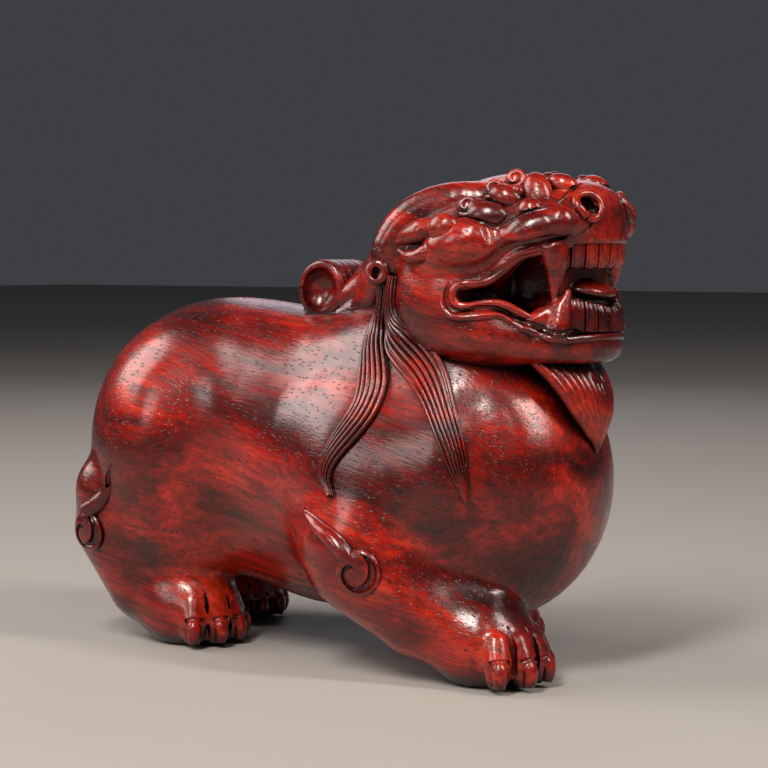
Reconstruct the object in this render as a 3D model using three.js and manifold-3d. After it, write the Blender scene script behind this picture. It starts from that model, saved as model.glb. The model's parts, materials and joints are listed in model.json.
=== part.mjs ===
// A pixiu carved from one block of red rosewood, walking, with its head raised and its mouth open.
// Its body and its head are solid fields: swelling masses that melt into each other, with hollows
// cut out of them, which are then faceted. Hair, teeth, lips, toes and curls are turned strands
// bent along curves, joined to the block or cut into it.
// Millimetres, +X towards the head, +Z up, origin under the middle of the figure, soles at zero.
import * as THREE from 'three';
import { mergeVertices } from 'three/addons/utils/BufferGeometryUtils.js';
import Module from 'manifold-3d';

const wasm = await Module();
wasm.setup();

// Driving dimensions
const figureLength = 104; // from the hocks to the lips, the size that all the carving follows
const frontStride = 17; // how far the far forepaw is set behind the near one
const rearStride = 10; // how far the far hind paw is set behind the near one
const strandThickness = 1.2; // of one strand of the side locks, at its middle
const beardDepth = 2.5; // how far the beard stands out of the chest
const toothWidth = 2.2;
const lipThickness = 1.4;
const spiralGroove = 1.0; // width of the cut of the leg spirals

const teethPerJaw = 9;
const strandsPerLock = 5;
const strandsInBeard = 9;
const strandsInTail = 5;
const toesPerPaw = 4;

// How finely the fields are sampled, how many facets are kept of each, and of the whole figure
const bodySampling = { step: 1.5, facets: 5000 };
const headSampling = { step: 0.9, facets: 5000 };
const facetLimit = 9500;

// Pose and carving are given in shares of the length: one share is a hundred and fourth of it
const share = figureLength / 104;
const mm = 1 / share; // turns a size of its own into shares

const clamp = THREE.MathUtils.clamp;
const radians = THREE.MathUtils.degToRad;

// A turn that lifts the head end by an angle
function turned(pitch) {
  return new THREE.Matrix4().makeRotationY(radians(-pitch));
}

// Smooth joins: two surfaces melt together where they come nearer than blend
function meltJoin(a, b, blend) {
  if (blend <= 0) return Math.min(a, b);
  const near = Math.max(blend - Math.abs(a - b), 0) / blend;
  return Math.min(a, b) - (near * near * blend) / 4;
}

function meltCut(a, b, blend) {
  return -meltJoin(-a, b, blend);
}

// A field is an ordered list of steps, each with the box in which it acts
let steps = [];

function makeField(make) {
  steps = [];
  make();
  return steps;
}

function addStep(distance, low, high, blend, cut = false) {
  const margin = 3;
  const [x0, y0, z0] = low.map((value) => value - blend - margin);
  const [x1, y1, z1] = high.map((value) => value + blend + margin);
  steps.push({ distance, blend, cut, x0, y0, z0, x1, y1, z1 });
}

function fieldAt(field, x, y, z) {
  let value = 1000;
  for (const step of field) {
    if (x < step.x0 || x > step.x1 || y < step.y0 || y > step.y1) continue;
    if (z < step.z0 || z > step.z1) continue;
    const d = step.distance(x, y, z);
    value = step.cut ? meltCut(value, d, step.blend) : meltJoin(value, d, step.blend);
  }
  return value;
}

// An ellipsoid, turned by frame
function lump([cx, cy, cz], [rx, ry, rz], blend, frame = new THREE.Matrix4()) {
  const [a, b, c, , d, e, f, , g, h, i] = frame.elements;
  const reach = Math.max(rx, ry, rz);
  const distance = (x, y, z) => {
    const [px, py, pz] = [x - cx, y - cy, z - cz];
    const u = (px * a + py * b + pz * c) / rx;
    const v = (px * d + py * e + pz * f) / ry;
    const w = (px * g + py * h + pz * i) / rz;
    const k0 = Math.sqrt(u * u + v * v + w * w);
    const k1 = Math.sqrt((u / rx) ** 2 + (v / ry) ** 2 + (w / rz) ** 2);
    return (k0 * (k0 - 1)) / Math.max(k1, 1e-9);
  };
  addStep(distance, [cx - reach, cy - reach, cz - reach], [cx + reach, cy + reach, cz + reach], blend);
}

// A limb through stops of [x, y, z, radius], rounded at both ends
function limb(stops, blend) {
  const fattest = Math.max(...stops.map((p) => p[3]));
  const low = [0, 1, 2].map((k) => Math.min(...stops.map((p) => p[k])) - fattest);
  const high = [0, 1, 2].map((k) => Math.max(...stops.map((p) => p[k])) + fattest);
  const spans = stops.slice(1).map((to, i) => {
    const from = stops[i];
    const way = [to[0] - from[0], to[1] - from[1], to[2] - from[2]];
    const square = Math.max(way[0] ** 2 + way[1] ** 2 + way[2] ** 2, 1e-9);
    return { from, way, square, swell: to[3] - from[3] };
  });
  const distance = (x, y, z) => {
    let nearest = 1000;
    for (const { from, way, swell, square } of spans) {
      const [px, py, pz] = [x - from[0], y - from[1], z - from[2]];
      const t = clamp((px * way[0] + py * way[1] + pz * way[2]) / square, 0, 1);
      const gap = Math.hypot(px - way[0] * t, py - way[1] * t, pz - way[2] * t);
      nearest = Math.min(nearest, gap - from[3] - swell * t);
    }
    return nearest;
  };
  addStep(distance, low, high, blend);
}

// A short upright drum with rounded edges, centred on y = 0
function drum(cx, radius, bottom, top, rounding, blend) {
  const distance = (x, y, z) => {
    const out = Math.hypot(x - cx, y) - radius + rounding;
    const over = Math.abs(z - (bottom + top) / 2) - (top - bottom) / 2 + rounding;
    const inside = Math.min(Math.max(out, over), 0);
    return Math.hypot(Math.max(out, 0), Math.max(over, 0)) + inside - rounding;
  };
  addStep(distance, [cx - radius, -radius, bottom], [cx + radius, radius, top], blend);
}

// The near side has y below zero, the far side above it
const nearSide = -1;
const farSide = 1;

function eachSide(make) {
  make(nearSide);
  make(farSide);
}

function mirrored(stops, side) {
  return stops.map(([x, y, z, r]) => [x, y * side, z, r]);
}

function limbPair(stops, blend) {
  eachSide((side) => limb(mirrored(stops, side), blend));
}

function lumpPair([x, y, z], sizes, blend) {
  eachSide((side) => lump([x, y * side, z], sizes, blend));
}

// Details are closed solids, raised on the block or cut out of it
const raised = [];
const cutOut = [];

function toManifold(geometry) {
  geometry.deleteAttribute('normal');
  geometry.deleteAttribute('uv');
  const merged = mergeVertices(geometry);
  return new wasm.Manifold(new wasm.Mesh({
    numProp: 3,
    vertProperties: new Float32Array(merged.getAttribute('position').array),
    triVerts: new Uint32Array(merged.index.array),
  }));
}

function addDetail(geometry, cut) {
  geometry.scale(share, share, share);
  (cut ? cutOut : raised).push(toManifold(geometry));
}

function curveThrough(stops) {
  const places = stops.map(([x, y, z]) => new THREE.Vector3(x, y, z));
  return new THREE.CatmullRomCurve3(places, false, 'catmullrom', 0.5);
}

// A strand is turned as on a lathe, then bent along the curve through stops of [x, y, z, radius]
function strand(stops, { pieces = 8, sides = 6, cut = false } = {}) {
  const curve = curveThrough(stops);
  const frames = curve.computeFrenetFrames(pieces, false);
  const radiusAt = (i) => {
    const t = curve.getUtoTmapping(i / pieces) * (stops.length - 1);
    const slot = Math.min(Math.floor(t), stops.length - 2);
    return THREE.MathUtils.lerp(stops[slot][3], stops[slot + 1][3], t - slot);
  };
  const profile = Array.from({ length: pieces + 1 }, (_, i) => new THREE.Vector2(radiusAt(i), i));
  const geometry = new THREE.LatheGeometry(
    [new THREE.Vector2(0, -1), ...profile, new THREE.Vector2(0, pieces + 1)], sides);
  const position = geometry.getAttribute('position');
  const p = new THREE.Vector3();
  for (let v = 0; v < position.count; v += 1) {
    const i = clamp(Math.round(position.getY(v)), 0, pieces);
    const past = position.getY(v) - i; // the pole of either end stands out past the curve
    p.copy(curve.getPointAt(i / pieces));
    p.addScaledVector(frames.normals[i], position.getZ(v));
    p.addScaledVector(frames.binormals[i], position.getX(v));
    p.addScaledVector(frames.tangents[i], past * profile[i].x * 0.7);
    position.setXYZ(v, p.x, p.y, p.z);
  }
  addDetail(geometry, cut);
}

function strandPair(stops, options) {
  eachSide((side) => strand(mirrored(stops, side), options));
}

// A knob is a ball stretched to its own sizes and turned by frame
function knob([x, y, z], [rx, ry, rz], cut = false, frame = new THREE.Matrix4()) {
  const geometry = new THREE.SphereGeometry(1, 12, 8).scale(rx, ry, rz);
  geometry.applyMatrix4(frame).translate(x, y, z);
  addDetail(geometry, cut);
}

function knobPair([x, y, z], sizes, cut = false) {
  eachSide((side) => knob([x, y * side, z], sizes, cut));
}

// The far limbs are set back by their stride: the whole stride at the paw, less further up
const setBack = {
  hind: { [nearSide]: 0, [farSide]: -rearStride * mm },
  fore: { [nearSide]: 0, [farSide]: -frontStride * mm },
};

function makeTrunk() {
  lump([-32, 0, 35.6], [24.6, 20.8, 22.4], 0); // rump
  lump([-8, 0, 31.6], [32, 19.6, 24.4], 9, turned(-4)); // barrel
  lump([19, 0, 30], [21.2, 21, 23], 5); // chest
  lump([10, 0, 46], [17, 14, 13], 8); // neck
}

function makeHindLeg(side) {
  const back = setBack.hind[side];
  lump([-35 + back * 0.25, side * 10.5, 31], [16.5, 12.8, 22], 4.5); // haunch
  limb([
    [-44.5 + back * 0.6, side * 13.5, 19.5, 9],
    [-40 + back, side * 12.5, 10, 7.6],
    [-33 + back, side * 11.5, 7, 6.8],
  ], 4);
  lump([-32.5 + back, side * 11.5, 5.6], [8.6, 7.6, 6.8], 2.5);
  lump([-46.6 + back * 0.6, side * 18.6, 25.6], [4.2, 4.4, 5.2], 1.6); // hock
}

function makeForeLeg(side) {
  const back = setBack.fore[side];
  lump([7 + back * 0.2, side * 13.3, 27.5], [14, 10.5, 19], 4.5, turned(18)); // shoulder
  limb([
    [8 + back * 0.5, side * 16, 19, 9.5],
    [18 + back, side * 14.5, 11.5, 8.4],
    [27 + back, side * 12.5, 7.6, 7.2],
  ], 4.5);
  lump([28 + back, side * 12.2, 5.8], [8.4, 7.8, 6.8], 2.5);
}

const body = makeField(() => {
  makeTrunk();
  eachSide(makeHindLeg);
  eachSide(makeForeLeg);
});

const jawCentre = 32.7; // the middle of the arch that the muzzle and both rows of teeth follow

// Both lips run from the corner of the mouth round the muzzle: places, then height of each lip
const lipRoute = [
  [24.6, -15.3], [27.6, -13.7], [30.4, -12.1], [33.4, -10.9],
  [37.3, -9.5], [40.4, -7.3], [42.6, -4], [43.3, 0],
];
const upperLip = [59.6, 60.4, 62.8, 65.4, 66.2, 67.3, 68.2, 68.3];
const lowerLip = [58.4, 57.9, 57.6, 56.2, 54.4, 53.8, 53.5, 53.4];

function lipHeight(x, heights) {
  let i = 1;
  while (i < lipRoute.length - 1 && x > lipRoute[i][0]) i += 1;
  const [from, to] = [lipRoute[i - 1][0], lipRoute[i][0]];
  return heights[i - 1] + (heights[i] - heights[i - 1]) * clamp((x - from) / (to - from), 0, 1);
}

function makeHeadMasses() {
  lump([21, 0, 64], [14, 14.8, 12], 1.2); // skull
  lump([25.5, 0, 70], [12, 9, 8], 2); // crown
  lumpPair([20, 7, 58], [12, 9.2, 10], 3); // cheeks
  lumpPair([26.5, 6.5, 66.5], [9, 8.2, 6.8], 3); // cheek bones
  drum(jawCentre, 10.6, 66, 74.6, 4, 3); // muzzle
  lump([36.6, 0, 72.2], [6.4, 8.2, 4.6], 1.5); // nose
  drum(jawCentre - 0.5, 10.9, 48.9, 54.5, 2.6, 3); // lower jaw
  lumpPair([23.5, 9, 53], [10, 6.2, 4.8], 3); // jaw hinges
  limb([ // mane, down the nape
    [17, 0, 72.2, 4.6], [10, 0, 70.4, 5], [5, 0, 66.8, 5.1], [1.4, 0, 61.5, 4.8], [-1.4, 0, 54, 4.4],
  ], 1.5);
  limbPair([[5.2, 3.4, 66.8, 3.2], [1.6, 3.4, 61.5, 3.2], [-1.4, 3.4, 54.4, 2.8]], 1.5);
}

// The mouth is cut in two steps, the gape between the lips and the hollow inside the teeth
function makeMouth() {
  const corner = lipRoute[0][0] + 0.2;
  const gape = (x, y, z) => Math.max(
    (z - lipHeight(x, upperLip)) * 0.85, (lipHeight(x, lowerLip) - z) * 0.85, corner - x);
  addStep(gape, [corner, -20, 50], [48, 20, 70], 0.8, true);
  const [floor, roof] = [55, 67.3];
  const hollow = (x, y, z) => Math.max(Math.hypot(x - jawCentre, y) - 8.6, floor - z, z - roof);
  addStep(hollow, [24, -9, floor], [42, 9, roof], 0.6, true);
  lump([26.5, 0, 61], [8.5, 7, 8], 1); // back of the throat
  lump([34.2, 0, 58.9], [8, 5.6, 1.9], 0.6); // tongue
  makeGum(64, 69);
  makeGum(52.5, 57.2);
  limbPair([[20, 13.6, 66.2, 2.5], [25, 13, 67.9, 2.7], [30, 11.6, 67.8, 1.8]], 2); // folds of the cheek
  limbPair([[31, 12, 68.4, 1.5], [35, 11, 69.2, 1.6], [38.4, 9.6, 69.6, 1.1]], 1.5);
}

function makeGum(bottom, top) {
  const gum = (x, y, z) => Math.max(
    Math.abs(Math.hypot(x - jawCentre, y) - 8.9) - 0.6, bottom - z, z - top, jawCentre + 2.6 - x);
  addStep(gum, [jawCentre, -11, bottom], [jawCentre + 12, 11, top], 0.4);
}

const head = makeField(() => {
  makeHeadMasses();
  makeMouth();
});

// How far a place is outside the block, which way its surface faces there, and its nearest place
// on that surface, where hair and marks are laid
function outside(x, y, z) {
  return Math.min(fieldAt(body, x, y, z), fieldAt(head, x, y, z));
}

function facingAt({ x, y, z }) {
  const e = 0.2;
  return new THREE.Vector3(
    outside(x + e, y, z) - outside(x - e, y, z),
    outside(x, y + e, z) - outside(x, y - e, z),
    outside(x, y, z + e) - outside(x, y, z - e),
  ).normalize();
}

function ontoBlock(place) {
  const p = place.clone();
  for (let i = 0; i < 6; i += 1) p.addScaledVector(facingAt(p), -outside(p.x, p.y, p.z));
  return p;
}

// Toes fan out from the middle of the paw
function makeToes([x, y], reach) {
  const fan = 34;
  for (let toe = 0; toe < toesPerPaw; toe += 1) {
    const angle = radians((toe - (toesPerPaw - 1) / 2) * fan);
    const [forward, sideways] = [Math.cos(angle), Math.sin(angle) * 0.92];
    const stop = (out, height, radius) => [x + forward * out, y + sideways * out, height, radius];
    strand([
      stop(reach * 0.35, 7.3, 2.9),
      stop(reach * 0.8, 6.2, 3),
      stop(reach + 0.4, 4.6, 2.6),
      stop(reach + 1.3, 3.4, 1.6),
    ], { pieces: 5, sides: 8 });
  }
}

// Teeth stand on the arch of the jaw, spread by their own width
function makeTeeth(root, tip) {
  const arch = 9.7;
  const width = toothWidth * mm;
  for (let i = 0; i < teethPerJaw; i += 1) {
    const angle = (i - (teethPerJaw - 1) / 2) * (width * 0.97 / arch);
    const [x, y] = [jawCentre + arch * Math.cos(angle), arch * Math.sin(angle)];
    strand([[x, y, root, width / 2], [x, y, tip, width * 0.4]], { pieces: 1 });
  }
}

function makeFangs() {
  strandPair([[37.6, 8.9, 67.2, 2.1], [38, 8.5, 63.6, 1.5], [38.2, 8.2, 60.2, 1.1]], { pieces: 3, sides: 7 });
  strandPair([[38.4, 8.6, 53.6, 1.8], [38.4, 8.5, 57, 1.5], [38.2, 8.2, 61, 1]], { pieces: 3, sides: 7 });
  strandPair([[35.6, 9.8, 54.2, 1.9], [37.4, 9, 57.2, 1.4], [38.2, 8.2, 60.6, 1]], { pieces: 3 });
}

function makeLips() {
  const radius = (lipThickness * mm) / 2;
  for (const heights of [upperLip, lowerLip]) {
    const near = lipRoute.map(([x, y], i) => [x, y, heights[i], radius]);
    const far = mirrored(near, -1).reverse().slice(1);
    strand([...near, ...far], { pieces: 34 });
  }
  strandPair([
    [27, 14.4, 60.4, radius], [25, 15.5, 61.2, radius], [23.4, 15.9, 60.2, radius],
    [23.5, 15.9, 58.3, radius], [25.3, 15.4, 57.5, radius], [27.8, 14.1, 57.5, radius],
  ], { pieces: 12 }); // the lips roll into each other at the corner
  const under = 1.7; // the lower lip is set off by a groove this far below it
  const groove = lowerLip.map((height, i) => {
    const [x, y] = lipRoute[i];
    return [x, Math.min(y * 1.06, y + 0.9), height - under, 0.65];
  });
  strandPair(mirrored(groove, -1).slice(0, 7), { pieces: 14, sides: 5, cut: true });
}

function makeFace() {
  knobPair([34.2, 8.7, 72.4], [2.4, 2, 2.3]); // eyes
  strandPair([[31, 6.6, 75.6, 1], [33.6, 8, 74.8, 1.4], [36, 8.9, 72.8, 0.9]], { pieces: 5 }); // lids
  strandPair([
    [35.2, 5.2, 76.4, 0.45], [36.6, 7.4, 75, 0.6], [37.4, 9.4, 72, 0.6], [36.4, 10.4, 70, 0.45],
  ], { pieces: 7, sides: 5, cut: true }); // fold before the eye
  knobPair([39.6, 7, 72.4], [2.6, 2.5, 2.2]); // wings of the nose
  knobPair([41.7, 7.3, 72.9], [1.3, 1.6, 1.1], true); // nostrils
  knobPair([22.8, 14.6, 68.9], [3.2, 2.6, 2.8]); // ears
  strandPair([[20.2, 14.8, 69.2, 1.7], [17, 15.2, 68, 1.9], [13.6, 14.8, 67.2, 0.5]], { pieces: 5 });
  strandPair([[20.2, 15.6, 66.4, 1], [18, 16, 64.9, 1.3], [14.8, 15.4, 65.6, 0.5]], { pieces: 5 });
  makeBrowCurl([26.2, 11.8, 72.1], [31, 12.2, 70.6]);
  makeBrowCurl([29, 10.4, 74.4], [33, 10.6, 72.5]);
  makeBrowCurl([30.8, 7, 76.8], [34, 7.8, 75.4]);
}

// A curl of the brow: an open ring with a lobe that runs forward from under it
function makeBrowCurl([x, y, z], [tipX, tipY, tipZ]) {
  const [radius, start, turn] = [1.2, 40, 300];
  const ring = Array.from({ length: 9 }, (_, i) => {
    const angle = radians(start + (turn * i) / 8);
    return [x + radius * Math.cos(angle), y - 0.4 * Math.sin(angle), z + radius * Math.sin(angle), 0.55];
  });
  strandPair(ring, { pieces: 9, sides: 5 });
  const middle = [(x + tipX) / 2, (y + tipY) / 2 + 0.3, (z + tipZ) / 2 + 0.3, 1.2];
  strandPair([[x + 0.8, y, z - 1.1, 0.9], middle, [tipX, tipY, tipZ, 0.5]], { pieces: 4 });
}

// Horns sweep back on both sides of the mane, which rolls up into a scroll on the back
function makeHorns() {
  strandPair([
    [21, 7.5, 73.8, 2.2], [16, 8.6, 73, 2.9], [12, 10.2, 70.4, 3.1],
    [9.6, 11.6, 66.8, 2.8], [8.9, 12.6, 63.4, 2.2],
  ], { pieces: 10, sides: 8 });
  knobPair([9, 13.4, 62.6], [1.9, 1.7, 2.4]);
  knobPair([9.2, 15, 62.7], [0.75, 1.5, 1.15], true);
}

function makeScroll([cx, cz], radius, halfWidth) {
  const roll = new THREE.CylinderGeometry(radius, radius, halfWidth * 2, 22);
  addDetail(roll.translate(cx, 0, cz), false);
  strand([[cx + 0.8, 0, cz - 3.8, 2], [cx + 6, 0, cz - 4.4, 3]], { pieces: 2, sides: 8 });
  const hollow = radius * 0.72; // each end of the roll is hollowed out
  knobPair([cx, halfWidth + 1, cz], [hollow, 3, hollow], true);
}

// A lock lies on the body: its strands run side by side and close up towards the tip
function makeLock(stops, halfWidths, side) {
  const curve = curveThrough(mirrored(stops, side));
  const pieces = 9;
  const strands = Array.from({ length: strandsPerLock }, () => []);
  const slots = halfWidths.length - 1;
  for (let i = 0; i <= pieces; i += 1) {
    const t = i / pieces;
    const place = ontoBlock(curve.getPoint(t));
    const facing = facingAt(place);
    const across = new THREE.Vector3().crossVectors(facing, curve.getTangent(t)).normalize();
    const slot = Math.min(Math.floor(t * slots), slots - 1);
    const half = THREE.MathUtils.lerp(halfWidths[slot], halfWidths[slot + 1], t * slots - slot);
    strands.forEach((stopsOfOne, s) => {
      const u = (2 * s) / (strandsPerLock - 1) - 1;
      const p = place.clone().addScaledVector(across, u * half * (1 - 1 / strandsPerLock));
      p.addScaledVector(facing, 0.2 + 0.3 * (1 - u * u));
      const radius = Math.max((half / strandsPerLock) * 1.13 * strandThickness * mm, 0.28);
      stopsOfOne.push([p.x, p.y, p.z, radius]);
    });
  }
  strands.forEach((stopsOfOne) => strand(stopsOfOne, { pieces }));
}

function makeLocks(side) {
  makeLock([
    [8.2, 13.6, 60], [8.6, 15, 53], [10.3, 17.2, 46.6],
    [10.4, 20, 41.2], [8.6, 22.1, 36.4], [6.2, 23.5, 30.8],
  ], [1.5, 2.3, 2.5, 1.9, 0.3], side);
  makeLock([
    [11, 14.8, 61], [11.6, 14.8, 54.5], [14.4, 14.8, 49.9], [18.2, 15.8, 46.2],
    [22.4, 17, 42.3], [25.7, 18.1, 38], [27.7, 18.8, 33.4], [28.9, 18.5, 28.6],
  ], [1.8, 2.9, 2.8, 2, 0.3], side);
}

function makeBeard() {
  const proud = beardDepth * mm - 2.5;
  for (let i = 0; i < strandsInBeard; i += 1) {
    const s = ((2 * i) / (strandsInBeard - 1) - 1) * 4;
    const out = Math.abs(s);
    strand([
      [34.6 - 0.12 * out * out, s * 2, 50.5, 1.3],
      [39.6 + proud - 0.14 * out * out, s * 1.75, 46, 1.25],
      [41 + proud - 0.1 * out * out, s * 1.25 + 0.2, 41.5, 1.05],
      [40.2 + proud * 0.5 - 0.03 * out * out, s * 0.55 + 0.8, 37 + 0.25 * out, 0.6],
      [39.7, 0.9 + s * 0.15, 35 + 0.35 * out, 0.35],
    ], { pieces: 7 });
  }
}

// A raised disc on a leg joint, with a spiral groove cut into it
function makeSpiral(x, y, z, radius) {
  const middle = ontoBlock(new THREE.Vector3(x, y, z));
  const out = facingAt(middle);
  const up = new THREE.Vector3(0, 0, 1).addScaledVector(out, -out.z).normalize();
  const along = new THREE.Vector3(1, 0, 0).addScaledVector(out, -out.x).normalize();
  const rise = radius * 0.42;
  const frame = new THREE.Matrix4().makeBasis(along, up, out);
  if (frame.determinant() < 0) frame.makeBasis(along.clone().negate(), up, out);
  knob(middle.toArray(), [radius, radius, rise], false, frame);
  const width = spiralGroove * mm;
  const [start, turns, count] = [100, 1.15, 18];
  const groove = Array.from({ length: count + 1 }, (_, i) => {
    const f = i / count;
    const angle = radians(start - 360 * turns * f);
    const r = radius * (0.78 - 0.55 * f);
    const p = middle.clone()
      .addScaledVector(along, r * Math.cos(angle))
      .addScaledVector(up, r * Math.sin(angle))
      .addScaledVector(out, rise * Math.sqrt(1 - (r / radius) ** 2) + 0.12);
    return [p.x, p.y, p.z, width * (0.5 - 0.12 * f)];
  });
  strand(groove, { pieces: count, sides: 5, cut: true });
}

// A flame licks up from a spiral over the body
function makeFlame(stops, side) {
  strand(mirrored(stops, side).map(([x, y, z, radius]) => {
    const p = ontoBlock(new THREE.Vector3(x, y, z));
    return [p.x, p.y, p.z, radius];
  }), { pieces: 7 });
}

function makeLegMarks(side) {
  const [fore, hind] = [setBack.fore[side] * 0.6, setBack.hind[side] * 0.6];
  makeSpiral(13 + fore, 24.3 * side, 17.2, 3.7);
  makeFlame([
    [11.2 + fore, 24.6, 20.4, 1.4], [9.4 + fore, 24.9, 22.2, 1.3],
    [6.4 + fore, 24.8, 24.2, 0.9], [3.2 + fore, 23.8, 25.4, 0.3],
  ], side);
  makeSpiral(-45.2 + hind, 21.6 * side, 18.9, 3.5);
  makeFlame([
    [-45.2 + hind, 21.4, 22.8, 1.7], [-42.6 + hind, 22, 25, 1.5],
    [-40.2 + hind, 22.6, 28, 0.9], [-38.6 + hind, 22.9, 31, 0.3],
  ], side);
}

function makeTail() {
  for (let i = 0; i < strandsInTail; i += 1) {
    const s = (2 * i) / (strandsInTail - 1) - 1;
    strand([
      [-53.5, s * 2.6, 44.5, 1.1], [-56.9, s * 3.6, 36, 1.6], [-58, s * 3.4, 28, 1.5],
      [-56.6, s * 2.2, 20.5, 1.1], [-54, s * 0.5, 14.5, 0.5],
    ], { pieces: 8 });
  }
}

eachSide((side) => {
  makeToes([29.6 + setBack.fore[side], 12.2 * side], 6.8);
  makeToes([-30.8 + setBack.hind[side], 11.5 * side], 6);
  makeLegMarks(side);
  makeLocks(side);
});
makeHorns();
makeScroll([-9.8, 60.4], 4.2, 4.4);
makeTeeth(67.8, 63.4);
makeTeeth(53.6, 57.8);
makeFangs();
makeLips();
makeFace();
makeBeard();
makeTail();

// Faceting: the field is sampled on a grid in which each cube is six tetrahedra, so the skin closes
function facet(field, low, high, pitch) {
  const coarse = 4;
  const counts = low.map((l, k) => Math.ceil((high[k] - l) / (pitch * coarse)) * coarse);
  const [nx, ny, nz] = counts.map((n) => n + 1);
  const index = (i, j, k) => (i * ny + j) * nz + k;
  const values = new Float32Array(nx * ny * nz).fill(NaN);
  const valueAt = (i, j, k) => {
    const at = index(i, j, k);
    if (Number.isNaN(values[at])) {
      values[at] = fieldAt(field, low[0] + i * pitch, low[1] + j * pitch, low[2] + k * pitch);
    }
    return values[at];
  };
  const corners = Array.from({ length: 8 }, (_, c) => [c >> 2, (c >> 1) & 1, c & 1]);
  const axisOrders = [[4, 2, 1], [4, 1, 2], [2, 4, 1], [2, 1, 4], [1, 4, 2], [1, 2, 4]];
  const tetrahedra = axisOrders.map(([a, b]) => [0, a, a | b, 7]);
  const points = [];
  const triangles = [];
  const known = new Map();
  const reach = pitch * coarse * 0.87;

  const crossing = (i, j, k, from, to, a, b) => {
    const lower = Math.min(from, to);
    const code = from ^ to;
    const [di, dj, dk] = corners[lower];
    const key = index(i + di, j + dj, k + dk) * 8 + code;
    let id = known.get(key);
    if (id === undefined) {
      const t = clamp(a / (a - b), 0.04, 0.96);
      const start = corners[from];
      const end = corners[to];
      id = points.length;
      const place = (base, axis) => base + start[axis] + (end[axis] - start[axis]) * t;
      points.push([i, j, k].map((base, axis) => low[axis] + place(base, axis) * pitch));
      known.set(key, id);
    }
    return id;
  };

  // Keeps each triangle facing from the wood to the air
  const addTriangle = (ids, inner, outer) => {
    const [a, b, c] = ids.map((id) => points[id]);
    const u = [b[0] - a[0], b[1] - a[1], b[2] - a[2]];
    const v = [c[0] - a[0], c[1] - a[1], c[2] - a[2]];
    const normal = [u[1] * v[2] - u[2] * v[1], u[2] * v[0] - u[0] * v[2], u[0] * v[1] - u[1] * v[0]];
    const [from, to] = [corners[inner], corners[outer]];
    const facing = normal.reduce((sum, n, axis) => sum + n * (to[axis] - from[axis]), 0);
    triangles.push(facing > 0 ? ids : [ids[0], ids[2], ids[1]]);
  };

  const marchCube = (i, j, k) => {
    const v = corners.map(([di, dj, dk]) => valueAt(i + di, j + dj, k + dk));
    const wood = v.filter((value) => value < 0).length;
    if (wood === 0 || wood === 8) return false;
    for (const tetrahedron of tetrahedra) {
      const inside = tetrahedron.filter((c) => v[c] < 0);
      const outside = tetrahedron.filter((c) => v[c] >= 0);
      if (inside.length === 0 || outside.length === 0) continue;
      const cut = (a, b) => crossing(i, j, k, a, b, v[a], v[b]);
      if (inside.length === 2) {
        const [a, b] = inside;
        const [c, d] = outside;
        const ring = [cut(a, c), cut(a, d), cut(b, d), cut(b, c)];
        addTriangle([ring[0], ring[1], ring[2]], a, c);
        addTriangle([ring[0], ring[2], ring[3]], a, c);
      } else if (inside.length === 1) {
        addTriangle(outside.map((c) => cut(inside[0], c)), inside[0], outside[0]);
      } else {
        addTriangle(inside.map((c) => cut(c, outside[0])), inside[0], outside[0]);
      }
    }
    return true;
  };

  // Blocks of cubes near the surface come first, then any neighbour that the surface runs on into
  const blocks = counts.map((n) => n / coarse);
  const waiting = [];
  const seen = new Uint8Array(blocks[0] * blocks[1] * blocks[2]);
  const enqueue = (I, J, K) => {
    if (I < 0 || J < 0 || K < 0 || I >= blocks[0] || J >= blocks[1] || K >= blocks[2]) return;
    const at = (I * blocks[1] + J) * blocks[2] + K;
    if (seen[at]) return;
    seen[at] = 1;
    waiting.push([I, J, K]);
  };
  for (let I = 0; I < blocks[0]; I += 1) {
    for (let J = 0; J < blocks[1]; J += 1) {
      for (let K = 0; K < blocks[2]; K += 1) {
        const middle = [I, J, K].map((block, axis) => low[axis] + (block + 0.5) * coarse * pitch);
        if (Math.abs(fieldAt(field, ...middle)) < reach) enqueue(I, J, K);
      }
    }
  }
  while (waiting.length > 0) {
    const block = waiting.pop();
    const start = block.map((b) => b * coarse);
    for (let i = 0; i < coarse; i += 1) {
      for (let j = 0; j < coarse; j += 1) {
        for (let k = 0; k < coarse; k += 1) {
          if (!marchCube(start[0] + i, start[1] + j, start[2] + k)) continue;
          [i, j, k].forEach((place, axis) => {
            const step = place === 0 ? -1 : Number(place === coarse - 1);
            if (step !== 0) enqueue(...block.map((b, other) => b + (other === axis ? step : 0)));
          });
        }
      }
    }
  }
  return { points, triangles };
}

// Only the outer skin is kept, without any stray bubble in the wood
function largestSkin({ points, triangles }) {
  const parent = points.map((_, i) => i);
  const root = (i) => {
    let at = i;
    while (parent[at] !== at) {
      parent[at] = parent[parent[at]];
      at = parent[at];
    }
    return at;
  };
  for (const [a, b, c] of triangles) {
    parent[root(a)] = root(b);
    parent[root(b)] = root(c);
  }
  const sizes = new Map();
  for (const [a] of triangles) sizes.set(root(a), (sizes.get(root(a)) ?? 0) + 1);
  const [largest] = [...sizes].reduce((best, entry) => (entry[1] > best[1] ? entry : best));
  return { points, triangles: triangles.filter(([a]) => root(a) === largest) };
}

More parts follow.
